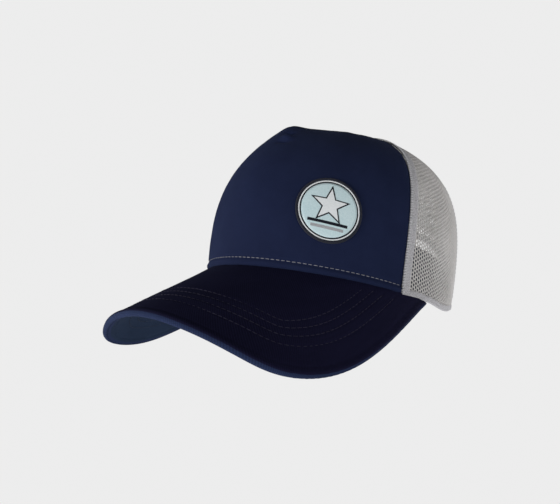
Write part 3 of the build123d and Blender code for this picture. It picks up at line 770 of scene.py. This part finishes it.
for side, sg in (("left", 1), ("right", -1)):
    strip(f"front_seam_strip_{side}", (lambda s, k=sg: front_seam(k, s)), sg * 0.35, sg * 6.6, 0.6, 6.0, cells=10)
    strip(f"side_seam_strip_a_{side}", side_fn(sg * SIDE_SEAM), sg * -4.4, sg * -0.15, 0.6, 8.0)
    strip(f"side_seam_strip_b_{side}", side_fn(sg * SIDE_SEAM), sg * 0.15, sg * 4.4, 0.6, 8.0)
    strip(f"back_seam_strip_{side}", side_fn(180 * sg), sg * -4.4, sg * -0.15, 58.0, 8.0)
    # overlock threads whipped across the edge of the front panel
    s = np.linspace(2.0, float(top_s(front_seam(sg, np.array([60.0]))[0])) - 9, 400)
    ph = front_seam(sg, s) + sg * 0.15 / scale_at(front_seam(sg, s), s)
    crown_row(f"overlock_{side}", ph, s, THREAD_PALE, depth=-0.36, length=0.7, gap=1.0, r=0.30, slant=2.3)
    # topstitches beside the seams
    for tag, fn, off in (("front", (lambda s, k=sg: front_seam(k, s)), 1.5), ("side_a", side_fn(sg * SIDE_SEAM), -2.6),
                         ("side_b", side_fn(sg * SIDE_SEAM), 2.6)):
        s = np.linspace(8, float(top_s(fn(np.array([60.0]))[0])) - 16, 300)
        ph = fn(s) + sg * off / scale_at(fn(s), s)
        crown_row(f"stitch_{tag}_{side}", ph, s, THREAD_GREY, depth=-0.26, length=2.3, gap=0.6, r=0.17)
    s = np.linspace(63, float(top_s(math.pi)) - 16, 200)
    ph = math.pi * sg - sg * 2.6 / scale_at(np.full_like(s, math.pi), s)
    crown_row(f"stitch_back_{side}", ph, s, THREAD_GREY, depth=-0.26, length=2.3, gap=0.6, r=0.17)


# folded hem along the bottom of the mesh
def hem(name, f0, f1, node, nu=240, h=3.8):
    ph = np.linspace(f0, f1, nu)
    prof = [(h, 0.15), (h - 0.7, -0.22), (h * 0.5, -0.34), (1.0, -0.30), (0.15, -0.1), (-0.25, 0.6), (0.15, 1.5),
            (1.0, 1.9), (h * 0.5, 1.95), (h - 0.7, 1.8), (h, 1.3)]
    rows, ww = [], []
    for s_, d_ in prof:
        s = np.full_like(ph, s_)
        wob = 0.10 * np.sin(ph * 85 * 0.55) + 0.06 * np.sin(ph * 85 * 1.3 + 1)
        pnt = on_crown(ph, np.maximum(s, 0), np.full_like(ph, d_) - wob * (d_ < 0.5))
        pnt[:, 2] += np.minimum(s, 0)
        rows.append(pnt)
        ww.append(np.stack([ph * 85, s], -1))
    P = np.array(rows)
    nu_, nv_ = P.shape[:2]
    F = quads(nu_, nv_, close_u=True)
    caps = [tuple(i * nv_ for i in range(nu_)), tuple(i * nv_ + nv_ - 1 for i in range(nu_))[::-1]]
    ob = fix_normals(make(name, P.reshape(-1, 3), list(map(tuple, F)) + caps, STRIP, weave=np.vstack(ww)))
    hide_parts(node)
    q = np.linspace(f0 + 0.01, f1 - 0.01, 500)
    crown_row(name + "_stitch", q, np.full_like(q, h - 1.3), THREAD_GREY, depth=-0.24, length=2.3, gap=0.7, r=0.17)
    return ob


seam0 = float(front_seam(1, np.array([3.0]))[0]) + 0.006
hem("mesh_hem_left_fold", seam0, math.radians(144.6), "mesh_hem_left")
hem("mesh_hem_right_fold", -math.radians(144.6), -seam0, "mesh_hem_right")


# ------------------------------------------------------------------ rear opening binding
def surf_xz(x, z):
    """Angle and height of the point on the back of the crown above a given x and z."""
    ph = np.arctan2(x / OPENING_HALF_WIDTH, -0.9 * np.ones_like(x))
    ph = np.where(ph < 0, ph + 2 * math.pi, ph)
    s = np.maximum(z - 4.0, 0.0)
    for _ in range(25):
        p = crown(ph, tau_at(ph, s))
        e = 1e-3
        pf = crown(ph + e, tau_at(ph + e, s))
        ps = crown(ph, tau_at(ph, s + 0.2))
        a, b = (pf[..., 0] - p[..., 0]) / e, (ps[..., 0] - p[..., 0]) / 0.2
        c, d = (pf[..., 2] - p[..., 2]) / e, (ps[..., 2] - p[..., 2]) / 0.2
        rx, rz = x - p[..., 0], z - p[..., 2]
        det = a * d - b * c
        ph = ph + np.clip((d * rx - b * rz) / det, -0.1, 0.1)
        s = np.maximum(s + np.clip((-c * rx + a * rz) / det, -6, 6), 0.0)
    return ph, s


al = np.linspace(math.radians(3.0), math.radians(177.0), 181)
rows, ww = [], []
prof = [(0.0, 0.45), (0.25, -0.15), (1.3, -0.42), (3.4, -0.48), (4.9, -0.36), (5.4, 0.0), (5.4, 0.8), (4.9, 1.55),
        (3.2, 1.75), (1.3, 1.7), (0.25, 1.2)]
for off, dep in prof:
    a_, b_ = ARCH_HALF_W + off, ARCH_TOP - ARCH_Z0 + off
    x, z = a_ * np.cos(al), ARCH_Z0 + b_ * np.sin(al)
    ph, s = surf_xz(x, z)
    # both feet run straight down over the hem to the bottom edge
    leg = np.linspace(1.0, 0.0, 8)[1:]
    ph = np.concatenate([np.full(7, ph[0]), ph, np.full(7, ph[-1])])
    al_x = np.concatenate([al[0] - (s[0] - s[0] * leg[::-1]) / 50, al, al[-1] + (s[-1] - s[-1] * leg) / 50])
    s = np.concatenate([s[0] * leg[::-1], s, s[-1] * leg])
    pnt = on_crown(ph, s, np.full_like(s, dep) + 0.05 * np.sin(al_x * 60))
    pnt[[0, -1], 2] -= 0.35
    rows.append(pnt)
    ww.append(np.stack([al_x * 50, np.full_like(al_x, off)], -1))
P = np.array(rows)
F = quads(P.shape[0], P.shape[1], close_u=True)
n_al = len(al) + 14
caps = [tuple(i * n_al for i in range(len(prof))), tuple(i * n_al + n_al - 1 for i in range(len(prof)))[::-1]]
ob = fix_normals(make("rear_binding_cloth", P.reshape(-1, 3), list(map(tuple, F)) + caps, STRIP, weave=np.vstack(ww)))
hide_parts("rear_arch_binding")
a_, b_ = ARCH_HALF_W + 4.2, ARCH_TOP - ARCH_Z0 + 4.2
ph, s = surf_xz(a_ * np.cos(al), ARCH_Z0 + b_ * np.sin(al))
crown_row("rear_binding_stitch", ph, s, THREAD_GREY, depth=-0.42, length=2.3, gap=0.7, r=0.18)

# ------------------------------------------------------------------ bill
ROWS_MM = (33.0, 28.0, 22.7, 16.6)
E_LINE = edge_curve(np.linspace(-1, 1, 1201))


def edge_distance(p):
    flat = p.reshape(-1, 3)
    out = np.empty(len(flat))
    for i in range(0, len(flat), 4000):
        out[i:i + 4000] = np.sqrt(((flat[i:i + 4000, None] - E_LINE[None]) ** 2).sum(-1).min(1))
    return out.reshape(p.shape[:-1])


NT, NW = 261, 106
T = np.linspace(-BILL_T, BILL_T, NT)
W = np.concatenate([np.linspace(0, 0.90, 66, endpoint=False), np.linspace(0.90, 1, 40)])
TG, WG = np.meshgrid(T, W, indexing="ij")
reach = 1.5 + 1.2 * np.clip((np.abs(T) * BILL_SEAM_END - 68.0) / 6.0, 0, 1)
WG = WG - (1 - WG) * (reach / bill_chord(T))[:, None]
P0, Nn = bill_point(TG, WG), bill_normal(TG, WG)
ed = edge_distance(P0)
arc = np.concatenate([[0], np.cumsum(np.linalg.norm(np.diff(edge_curve(T), axis=0), axis=1))])
weave_t = arc[:, None] * (0.72 + 0.28 * WG)
weave_w = WG * bill_chord(T)[:, None]
# upper face: stitched grooves with the cloth puffed between them, and the seam roll at the edge
groove = sum(np.exp(-((ed - r) / 0.75) ** 2) for r in ROWS_MM)
puff = 0.22 * np.sin(np.clip((ed - 14) / 5.5, 0, 4) * math.pi) ** 2 * (ed > 14) * (ed < 36)
fade = np.clip((bill_chord(T)[:, None] * WG) / 4.0, 0, 1)
up = (-0.42 * groove + puff) * fade + 0.12 * noise2(weave_t, weave_w, 11, 3, 55)
lip = np.exp(-((ed - 5.2) / 0.8) ** 2)
up = up - 0.10 * lip
roll = np.sqrt(np.clip(1 - ((2.3 - np.minimum(ed, 2.3)) / 2.3) ** 2, 0, 1))
top_d = -up - 0.25 * np.exp(-((ed - 2.6) / 1.6) ** 2) * 1.0 + (1 - roll) * 2.2
thin = np.clip((1.0 - np.abs(TG)) / 0.06, 0.0, 1.0) ** 0.5 * 0.55 + 0.45
low_d = 4.2 - (1 - roll) * 2.0 + 0.30 * np.exp(-((ed - 6.4) / 0.8) ** 2) * -1.0
low_d = low_d - 0.55 * np.exp(-((ed - 1.75) / 0.42) ** 2) + 0.10 * noise2(weave_t, weave_w, 17, 3, 60)
top_d, low_d = top_d * thin, low_d * thin
top_p = P0 - top_d[..., None] * Nn
low_p = P0 - low_d[..., None] * Nn
v, f = shell(top_p, low_p)
nq = (NT - 1) * (NW - 1)
edc = 0.25 * (ed[:-1, :-1] + ed[1:, :-1] + ed[:-1, 1:] + ed[1:, 1:]).ravel()
fm = np.zeros(len(f), int)
# upper face: the rolled edge gets the lighter painted-highlight copy of the navy cloth, the rest the darker
# painted-shade copy
fm[:nq] = np.where(edc < 1.0, 1, 0)
# lower face: the edge band gets the painted-highlight copy, the rest the lighter painted-light copy of the navy cloth
fm[nq:2 * nq] = np.where(edc < 3.8, 1, 2)
fm[2 * nq:] = 1
wv = np.stack([weave_t.ravel(), weave_w.ravel()], -1)
bill = fix_normals(make("bill_cover", v, f, [BILL_TOP_PAINTED_SHADE, EDGE_PAINTED_HIGHLIGHT, UNDER_PAINTED_LIGHT], face_mat=fm, weave=np.vstack([wv, wv])))
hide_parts("bill_top_cover", "bill_board", "bill_under_cover", "bill_edge_binding")

for k, r in enumerate(ROWS_MM):
    pts, nrm, pts2, nrm2 = [], [], [], []
    for i in range(0, NT):
        col = ed[i]
        if col.max() < r + 0.5 or abs(T[i]) > 0.93:
            continue
        w = np.interp(-r, -col, WG[i])
        if w * bill_chord(T[i:i + 1])[0] < 3.0:
            continue
        n_ = bill_normal(T[i:i + 1], np.array([w]))[0]
        p_ = bill_point(T[i:i + 1], np.array([w]))[0]
        pts.append(p_)
        nrm.append(n_)
        pts2.append(p_ - 4.15 * n_)
        nrm2.append(-n_)
    stitches(f"bill_stitch_{k + 1}", pts, nrm, THREAD_BILL, length=2.8, gap=0.6, r=0.24, sink=0.30)
    stitches(f"bill_stitch_under_{k + 1}", pts2, nrm2, THREAD_NAVY, length=2.7, gap=0.8, r=0.22, sink=0.05)

# ------------------------------------------------------------------ sweatband
PHB = np.linspace(-math.radians(150), math.radians(150), 321)
prof = [(2.4, 4.8), (1.7, 5.2), (2.3, 5.8), (8, 5.95), (20, 6.0), (30, 5.85), (32.6, 5.7), (33.4, 5.2), (32.6, 4.7), (30, 4.75),
        (15, 4.7), (6, 4.7)]
rows, ww = [], []
for s_, d_ in prof:
    s = np.full_like(PHB, s_)
    wob = 0.25 * noise2(PHB * 85, s, 23, 3, 40)
    rows.append(on_crown(PHB, s, d_ + wob * (1 if 2 < s_ < 32 else 0.4)))
    ww.append(np.stack([PHB * 85, s], -1))
P = np.array(rows)
n_al = len(PHB)
F = quads(P.shape[0], n_al, close_u=True)
caps = [tuple(i * n_al for i in range(len(prof))), tuple(i * n_al + n_al - 1 for i in range(len(prof)))[::-1]]
ob = fix_normals(make("sweatband_cloth", P.reshape(-1, 3), list(map(tuple, F)) + caps, BAND, weave=np.vstack(ww)))
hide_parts("sweatband")
q = np.linspace(-math.radians(149), math.radians(149), 900)
p_ = on_crown(q, np.full_like(q, 5.4), np.full_like(q, 5.95))
stitches("sweatband_stitch", p_, -crown_normal(q, tau_at(q, np.full_like(q, 5.4))), THREAD_GREY, length=2.4, gap=0.8, r=0.2)

# ------------------------------------------------------------------ button
ang = np.linspace(0, 2 * math.pi, 97)[:-1]
rr = np.array([0.0, 1.2, 2.6, 4.0, 5.2, 6.2, 6.95, 7.4, 7.6, 7.45, 6.9, 5.6])
zz = np.array([4.2, 4.17, 4.05, 3.78, 3.35, 2.75, 2.05, 1.35, 0.65, 0.1, -0.25, -0.3])
rows, ww = [], []
for k, (r_, z_) in enumerate(zip(rr, zz)):
    fold = 0.16 * np.clip((r_ - 3.5) / 4, 0, 1) * np.sin(ang * 14) * (z_ > -0.1)
    rad = max(r_, 0.02) + fold * 0.6
    z2 = z_ + fold - 0.0006 * (rad ** 2)
    rows.append(np.stack([rad * np.cos(ang), APEX_Y + rad * np.sin(ang), APEX_Z + z2 + 0 * ang], -1))
    ww.append(np.stack([rad * np.cos(ang), rad * np.sin(ang)], -1))
P = np.array(rows)
F = quads(P.shape[0], len(ang))
extra = [tuple([i * len(ang) + len(ang) - 1, (i + 1) * len(ang) + len(ang) - 1, (i + 1) * len(ang), i * len(ang)]) for i in range(P.shape[0] - 1)]
caps = [tuple(range(len(ang))), tuple((P.shape[0] - 1) * len(ang) + i for i in range(len(ang)))[::-1]]
ob = fix_normals(make("button_cloth", P.reshape(-1, 3), list(map(tuple, F)) + extra + caps, NAVY, weave=np.vstack(ww)))
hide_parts("button_cover")

# ------------------------------------------------------------------ badge
B_PHI, B_S = math.radians(40.0), 39.0


def on_badge(a, b, lift):
    """Point of the badge: a across, b up, in mm from its centre."""
    a, b, lift = np.broadcast_arrays(np.asarray(a, float), np.asarray(b, float), np.asarray(lift, float))
    tilt = math.radians(-3.0)
    a2, b2 = a * math.cos(tilt) - b * math.sin(tilt), a * math.sin(tilt) + b * math.cos(tilt)
    s = B_S + b2
    ph = B_PHI + a2 / scale_at(np.full_like(a2, B_PHI), s)
    ph = B_PHI + a2 / scale_at(0.5 * (ph + B_PHI), s)
    return on_crown(ph, s, -lift)


def badge_disc(name, radius, mat, lo, hi, rings=14, seg=96, r_in=0.0):
    rad = np.linspace(max(r_in, 0.02), radius, rings)
    an = np.linspace(0, 2 * math.pi, seg, endpoint=False)
    R_, A_ = np.meshgrid(rad, an, indexing="ij")
    x, y = R_ * np.cos(A_), R_ * np.sin(A_)
    o_, i_ = on_badge(x, y, hi), on_badge(x, y, lo)
    P = np.vstack([o_.reshape(-1, 3), i_.reshape(-1, 3)])
    n = rings * seg
    F = []
    for k in range(rings - 1):
        for j in range(seg):
            j2 = (j + 1) % seg
            a, b, c, d = k * seg + j, k * seg + j2, (k + 1) * seg + j2, (k + 1) * seg + j
            F += [(a, d, c, b), (n + a, n + b, n + c, n + d)]
    for j in range(seg):
        j2 = (j + 1) % seg
        a, b = (rings - 1) * seg + j, (rings - 1) * seg + j2
        F.append((a, n + a, n + b, b))
        F.append((j, j2, n + j2, n + j))
    w_ = np.stack([x.ravel(), y.ravel()], -1)
    return fix_normals(make(name, P, F, mat, weave=np.vstack([w_, w_])))


def badge_shape(name, outline, mat, lo, hi, step=1.2):
    """Flat cut shape on the badge, filled with small triangles so it follows the curve."""
    pts = []
    n = len(outline)
    for i in range(n):
        a, b = np.array(outline[i]), np.array(outline[(i + 1) % n])
        k = max(1, int(np.linalg.norm(b - a) / step))
        pts += [tuple(a + (b - a) * j / k) for j in range(k)]
    m = len(pts)
    edges = [(i, (i + 1) % m) for i in range(m)]
    lo_, hi_ = np.min(pts, 0), np.max(pts, 0)
    inner = [(x, y) for x in np.arange(lo_[0] + step / 2, hi_[0], step) for y in np.arange(lo_[1] + step / 2, hi_[1], step)]
    vs, es, fs, _, _, _ = delaunay_2d_cdt([Vector(q) for q in pts + inner], edges, [list(range(m))], 1, 1e-5)
    V2 = np.array([tuple(q) for q in vs])
    o_, i_ = on_badge(V2[:, 0], V2[:, 1], hi), on_badge(V2[:, 0], V2[:, 1], lo)
    k = len(V2)
    cnt = {}
    for f_ in fs:
        for i in range(len(f_)):
            e = (f_[i], f_[(i + 1) % len(f_)])
            cnt[tuple(sorted(e))] = cnt.get(tuple(sorted(e)), []) + [e]
    F = [tuple(f_) for f_ in fs] + [tuple(q + k for q in f_)[::-1] for f_ in fs]
    for e in cnt.values():
        if len(e) == 1:
            a, b = e[0]
            F.append((b, a, a + k, b + k))
    return fix_normals(make(name, np.vstack([o_, i_]), F, mat, smooth=False, weave=np.vstack([V2, V2])))


badge = badge_disc("badge_base", 19.2, B_DARK, 0.05, 0.85)
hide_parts("front_badge")
badge_disc("badge_field", 16.6, B_PALE, 0.8, 1.0)
badge_disc("badge_ring", 18.3, B_WHITE, 0.8, 1.02, rings=4, r_in=17.5)
star = [(r_ * math.sin(k * math.pi / 5) * 1.0, r_ * math.cos(k * math.pi / 5) + 2.6)
        for k, r_ in [(i, 10.2 if i % 2 == 0 else 4.2) for i in range(10)]]
big = [(x * 1.22, (y - 2.6) * 1.22 + 2.6) for x, y in star]
badge_shape("badge_star_edge", big, B_DARK, 0.95, 1.14)
badge_shape("badge_star", star, B_WHITE, 1.1, 1.34)
for k, (yy, hw) in enumerate(((-8.0, 11.8), (-11.0, 9.6))):
    badge_shape(f"badge_bar_{k + 1}", [(-hw, yy - 0.85), (hw, yy - 0.85), (hw, yy + 0.85), (-hw, yy + 0.85)],
                B_GREY if k else B_DARK, 0.95, 1.16)
# merrowed edge: a cord of slanted thread round the rim
nr_, ns_ = 240, 10
an = np.linspace(0, 2 * math.pi, nr_ * 3, endpoint=False)
th = np.linspace(0, 2 * math.pi, ns_, endpoint=False)
A_, B_ = np.meshgrid(an, th, indexing="ij")
rad = 1.05 + 0.09 * np.sin(A_ * nr_ + B_ * 1.0)
P = on_badge((19.0 + rad * np.cos(B_)) * np.cos(A_), (19.0 + rad * np.cos(B_)) * np.sin(A_),
             0.55 + 0.72 * rad * np.sin(B_))
F = quads(P.shape[0], ns_, close_u=True)
F2 = []
for i in range(P.shape[0]):
    i2 = (i + 1) % P.shape[0]
    F2.append((i * ns_ + ns_ - 1, i2 * ns_ + ns_ - 1, i2 * ns_, i * ns_))
fix_normals(make("badge_edge", P.reshape(-1, 3), list(map(tuple, F)) + F2, B_RIM))

# ------------------------------------------------------------------ snap straps
STRAP_T, STRAP_H, STRAP_Z0, FLAT_Y, HINGE_X, TIP_X, PITCH = 1.2, 13.0, 5.0, 91.0, 19.5, 13.5, 8.0
GAP, PEG_R, PEG_H, HOLE_R = 0.15, 1.9, 2.2, 2.15


def band_xy(phi, depth):
    t = np.full_like(phi, 0.08)
    n = unit(crown_normal(phi, t) * [1, 1, 0])
    return (crown(phi, t) - depth * n)[:, :2]


def strap_path(sign, y_mid):
    phi = np.radians(np.linspace(136, 147, 6))
    tab = band_xy(phi, 3.5)
    p0, d0 = tab[-1], unit(tab[-1] - tab[-2])
    p1, d1 = np.array([HINGE_X + 0.8, y_mid]), np.array([-1.0, 0.0])
    k = np.linalg.norm(p1 - p0) * 0.42
    s = np.linspace(0, 1, 41)[1:, None]
    bez = (1 - s) ** 3 * p0 + 3 * (1 - s) ** 2 * s * (p0 + k * d0) + 3 * (1 - s) * s ** 2 * (p1 - 0.9 * k * d1) + s ** 3 * p1
    line = np.vstack([tab, bez, [[HINGE_X - 1, y_mid]], [[-TIP_X, y_mid]]])
    return line * [sign, 1]


def strap(name, sign, y_mid, mat, holes):
    line = strap_path(sign, y_mid)
    d = np.concatenate([[0], np.cumsum(np.linalg.norm(np.diff(line, axis=0), axis=1))])
    L = d[-1]
    hc = [L - TIP_X + i * -PITCH for i in range(-1, 6)]          # hole or peg centres along the strap
    r_tip = 5.5
    def outline():
        pts = [(0, 0.6), (0, STRAP_H - 0.6)]
        x1 = L
        for a in np.linspace(90, 0, 9):
            pts.append((x1 - r_tip + r_tip * math.cos(math.radians(a)), STRAP_H - r_tip + r_tip * math.sin(math.radians(a))))
        for a in np.linspace(0, -90, 9):
            pts.append((x1 - r_tip + r_tip * math.cos(math.radians(a)), r_tip + r_tip * math.sin(math.radians(a))))
        return pts
    pts = []
    o_ = outline()
    for i in range(len(o_)):
        a, b = np.array(o_[i]), np.array(o_[(i + 1) % len(o_)])
        k = max(1, int(np.linalg.norm(b - a) / 0.8))
        pts += [tuple(a + (b - a) * j / k) for j in range(k)]
    loops = [list(range(len(pts)))]
    keep_out = []
    if holes:
        for c in hc:
            if c < 6 or c > L - 3:
                continue
            st = len(pts)
            for a in np.linspace(0, 2 * math.pi, 28, endpoint=False):
                pts.append((c + HOLE_R * math.cos(a), STRAP_H / 2 + HOLE_R * math.sin(a)))
            loops.append(list(range(st, len(pts))))
            keep_out.append(c)
    edges = [(lp[i], lp[(i + 1) % len(lp)]) for lp in loops for i in range(len(lp))]
    for x in np.arange(0.8, L - 0.6, 0.8):
        for z in np.arange(1.0, STRAP_H - 0.5, 1.0):
            if x > L - r_tip and math.hypot(x - (L - r_tip), max(abs(z - STRAP_H / 2) - (STRAP_H / 2 - r_tip), 0)) > r_tip - 0.5:
                continue
            if any(math.hypot(x - c, z - STRAP_H / 2) < HOLE_R + 0.45 for c in keep_out):
                continue
            pts.append((x, z))
    vs, es, fs, _, _, _ = delaunay_2d_cdt([Vector(q) for q in pts], edges, [], 0, 1e-6)
    V2 = np.array([tuple(q) for q in vs])
    fs2 = []
    for f_ in fs:
        c = V2[list(f_)].mean(0)
        if c[0] < 0 or c[0] > L or c[1] < 0 or c[1] > STRAP_H:
            continue
        if c[0] > L - r_tip and math.hypot(c[0] - (L - r_tip), max(abs(c[1] - STRAP_H / 2) - (STRAP_H / 2 - r_tip), 0)) > r_tip:
            continue
        if any(math.hypot(c[0] - k_, c[1] - STRAP_H / 2) < HOLE_R * 0.99 for k_ in keep_out):
            continue
        q_ = V2[list(f_)]
        if np.linalg.norm(q_ - np.roll(q_, 1, axis=0), axis=1).max() > 2.6:
            continue  # a flat sliver along the straight edge
        fs2.append(f_)
    def bend(x, z, off):
        px, py = np.interp(x, d, line[:, 0]), np.interp(x, d, line[:, 1])
        e = 0.7
        tx = np.interp(np.minimum(x + e, L), d, line[:, 0]) - np.interp(np.maximum(x - e, 0), d, line[:, 0])
        ty = np.interp(np.minimum(x + e, L), d, line[:, 1]) - np.interp(np.maximum(x - e, 0), d, line[:, 1])
        t_ = unit(np.stack([tx, ty], -1))
        n_ = np.stack([t_[:, 1], -t_[:, 0]], -1) * (1 if sign > 0 else -1)
        n_ = -n_ if np.mean(n_[-3:, 1]) < 0 else n_
        return np.stack([px + off * n_[:, 0], py + off * n_[:, 1], STRAP_Z0 + z], -1)
    k = len(V2)
    # soften the rim: points on the outline sit a little inside the full thickness
    rim = np.zeros(k)
    rim[:len(loops[0])] = 1
    th = STRAP_T / 2 - 0.16 * rim
    ribs = 0.0
    P = np.vstack([bend(V2[:, 0], V2[:, 1], th), bend(V2[:, 0], V2[:, 1], -th)])
    cnt = {}
    for f_ in fs2:
        for i in range(len(f_)):
            e = (f_[i], f_[(i + 1) % len(f_)])
            cnt.setdefault(tuple(sorted(e)), []).append(e)
    F = [tuple(f_) for f_ in fs2] + [tuple(q + k for q in f_)[::-1] for f_ in fs2]
    for e in cnt.values():
        if len(e) == 1:
            a, b = e[0]
            F.append((b, a, a + k, b + k))
    if not holes:
        V3, off = [], len(P)
        for c in hc:
            if c < 6 or c > L - 3:
                continue
            base_r = [(PEG_R + 0.0, 0.35), (PEG_R, 0.6 + 0.02), (PEG_R * 0.94, 0.6 + 1.15), (PEG_R, 0.6 + 1.7),
                      (PEG_R * 0.8, 0.6 + PEG_H - 0.08), (PEG_R * 0.4, 0.6 + PEG_H)]
            st = off + len(V3)
            sg = 24
            for rad_, h_ in base_r:
                for a in np.linspace(0, 2 * math.pi, sg, endpoint=False):
                    q = bend(np.array([c]), np.array([STRAP_H / 2]), np.array([h_]))[0]
                    t_ = bend(np.array([c + 0.5]), np.array([STRAP_H / 2]), np.array([h_]))[0] - q
                    t_ = t_ / np.linalg.norm(t_)
                    V3.append(q + t_ * rad_ * math.cos(a) + np.array([0, 0, 1]) * rad_ * math.sin(a))
            for a in range(len(base_r) - 1):
                for j in range(sg):
                    j2 = (j + 1) % sg
                    F.append((st + a * sg + j, st + a * sg + j2, st + (a + 1) * sg + j2, st + (a + 1) * sg + j))
            F.append(tuple(st + j for j in range(sg))[::-1])
            F.append(tuple(st + (len(base_r) - 1) * sg + j for j in range(sg)))
        P = np.vstack([P, np.array(V3)])
    ob = make(name, P, F, mat, body=None, smooth=False)
    fix_normals(ob)
    return ob


y_peg, y_hole = FLAT_Y - STRAP_T / 2, FLAT_Y + GAP + STRAP_T / 2
s1 = strap("snap_strap_with_holes", 1, y_hole, SNAP, True)
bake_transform(s1)
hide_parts("snap_strap_holes", "snap_strap_holes_base")
s2 = strap("snap_strap_with_pegs", -1, y_peg, SNAP, False)
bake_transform(s2)
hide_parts("snap_strap_pegs", "snap_strap_pegs_base")

# ------------------------------------------------------------------ carried-over pieces
for node, mat in (("seam_tape_front_left", TAPE), ("seam_tape_front_right", TAPE), ("seam_tape_back_left", TAPE),
                  ("seam_tape_back_right", TAPE), ("seam_tape_centre_back", TAPE), ("sweatband_foam", FOAM),
                  ("button_core", STEEL), ("button_washer", STEEL), ("inner_label", LABEL)):
    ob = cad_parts[node]
    if not ob.material_slots:
        ob.data.materials.append(mat)
    for sl in ob.material_slots:
        sl.material = mat

# ------------------------------------------------------------------ stage and light
world = bpy.data.worlds.new("world")
bpy.context.scene.world = world
world.use_nodes = True
bg = world.node_tree.nodes["Background"]
PALE = (0.845, 0.845, 0.845, 1)
bg.inputs["Color"].default_value = PALE
bg.inputs["Strength"].default_value = 1.0
bpy.context.scene.view_settings.view_transform = "Standard"
# the pale surround is only seen; the cap is lit by the soft lights and the bounce from the floor
world.cycles_visibility.diffuse = False
world.cycles_visibility.glossy = False
world.cycles_visibility.transmission = False

fm_ = bpy.data.materials.new("floor_pale")
nt, bsdf = nodes_of(fm_)
bsdf.inputs["Base Color"].default_value = (0, 0, 0, 1)
bsdf.inputs["Specular IOR Level"].default_value = 0.0
bsdf.inputs["Roughness"].default_value = 1.0
bsdf.inputs["Emission Color"].default_value = PALE
bsdf.inputs["Emission Strength"].default_value = 1.0
me = bpy.data.meshes.new("floor")
n_f = 64
vv = [(0, 0, -0.95)] + [(9 * math.cos(a), 9 * math.sin(a), -0.95) for a in np.linspace(0, 2 * math.pi, n_f, endpoint=False)]
me.from_pydata(vv, [], [(0, i + 1, (i + 1) % n_f + 1) for i in range(n_f)])
me.materials.append(fm_)
floor = bpy.data.objects.new("floor", me)
bpy.context.scene.collection.objects.link(floor)
floor.visible_glossy = False


def area(name, loc, size, power, aim=(0, -0.03, 0.03), color=(1, 1, 1)):
    ld = bpy.data.lights.new(name, "AREA")
    ld.shape, ld.size, ld.energy, ld.color = "DISK", size, power, color
    lo = bpy.data.objects.new(name, ld)
    bpy.context.scene.collection.objects.link(lo)
    lo.location = loc
    lo.visible_camera = False
    lo.rotation_mode = "QUATERNION"
    lo.rotation_quaternion = (Vector(aim) - Vector(loc)).to_track_quat("-Z", "Y")
    return lo


area("key", (-0.30, -1.25, -0.22), 0.55, 9.6)
area("side_soft", (-1.10, -0.65, -0.10), 0.8, 4.5)
area("right_soft", (1.25, 0.0, 0.0), 0.8, 4.2)
area("top_soft", (0.0, 0.15, 1.25), 0.9, 1.8)
area("rear_soft", (0.25, 1.25, 0.25), 0.9, 6.0)
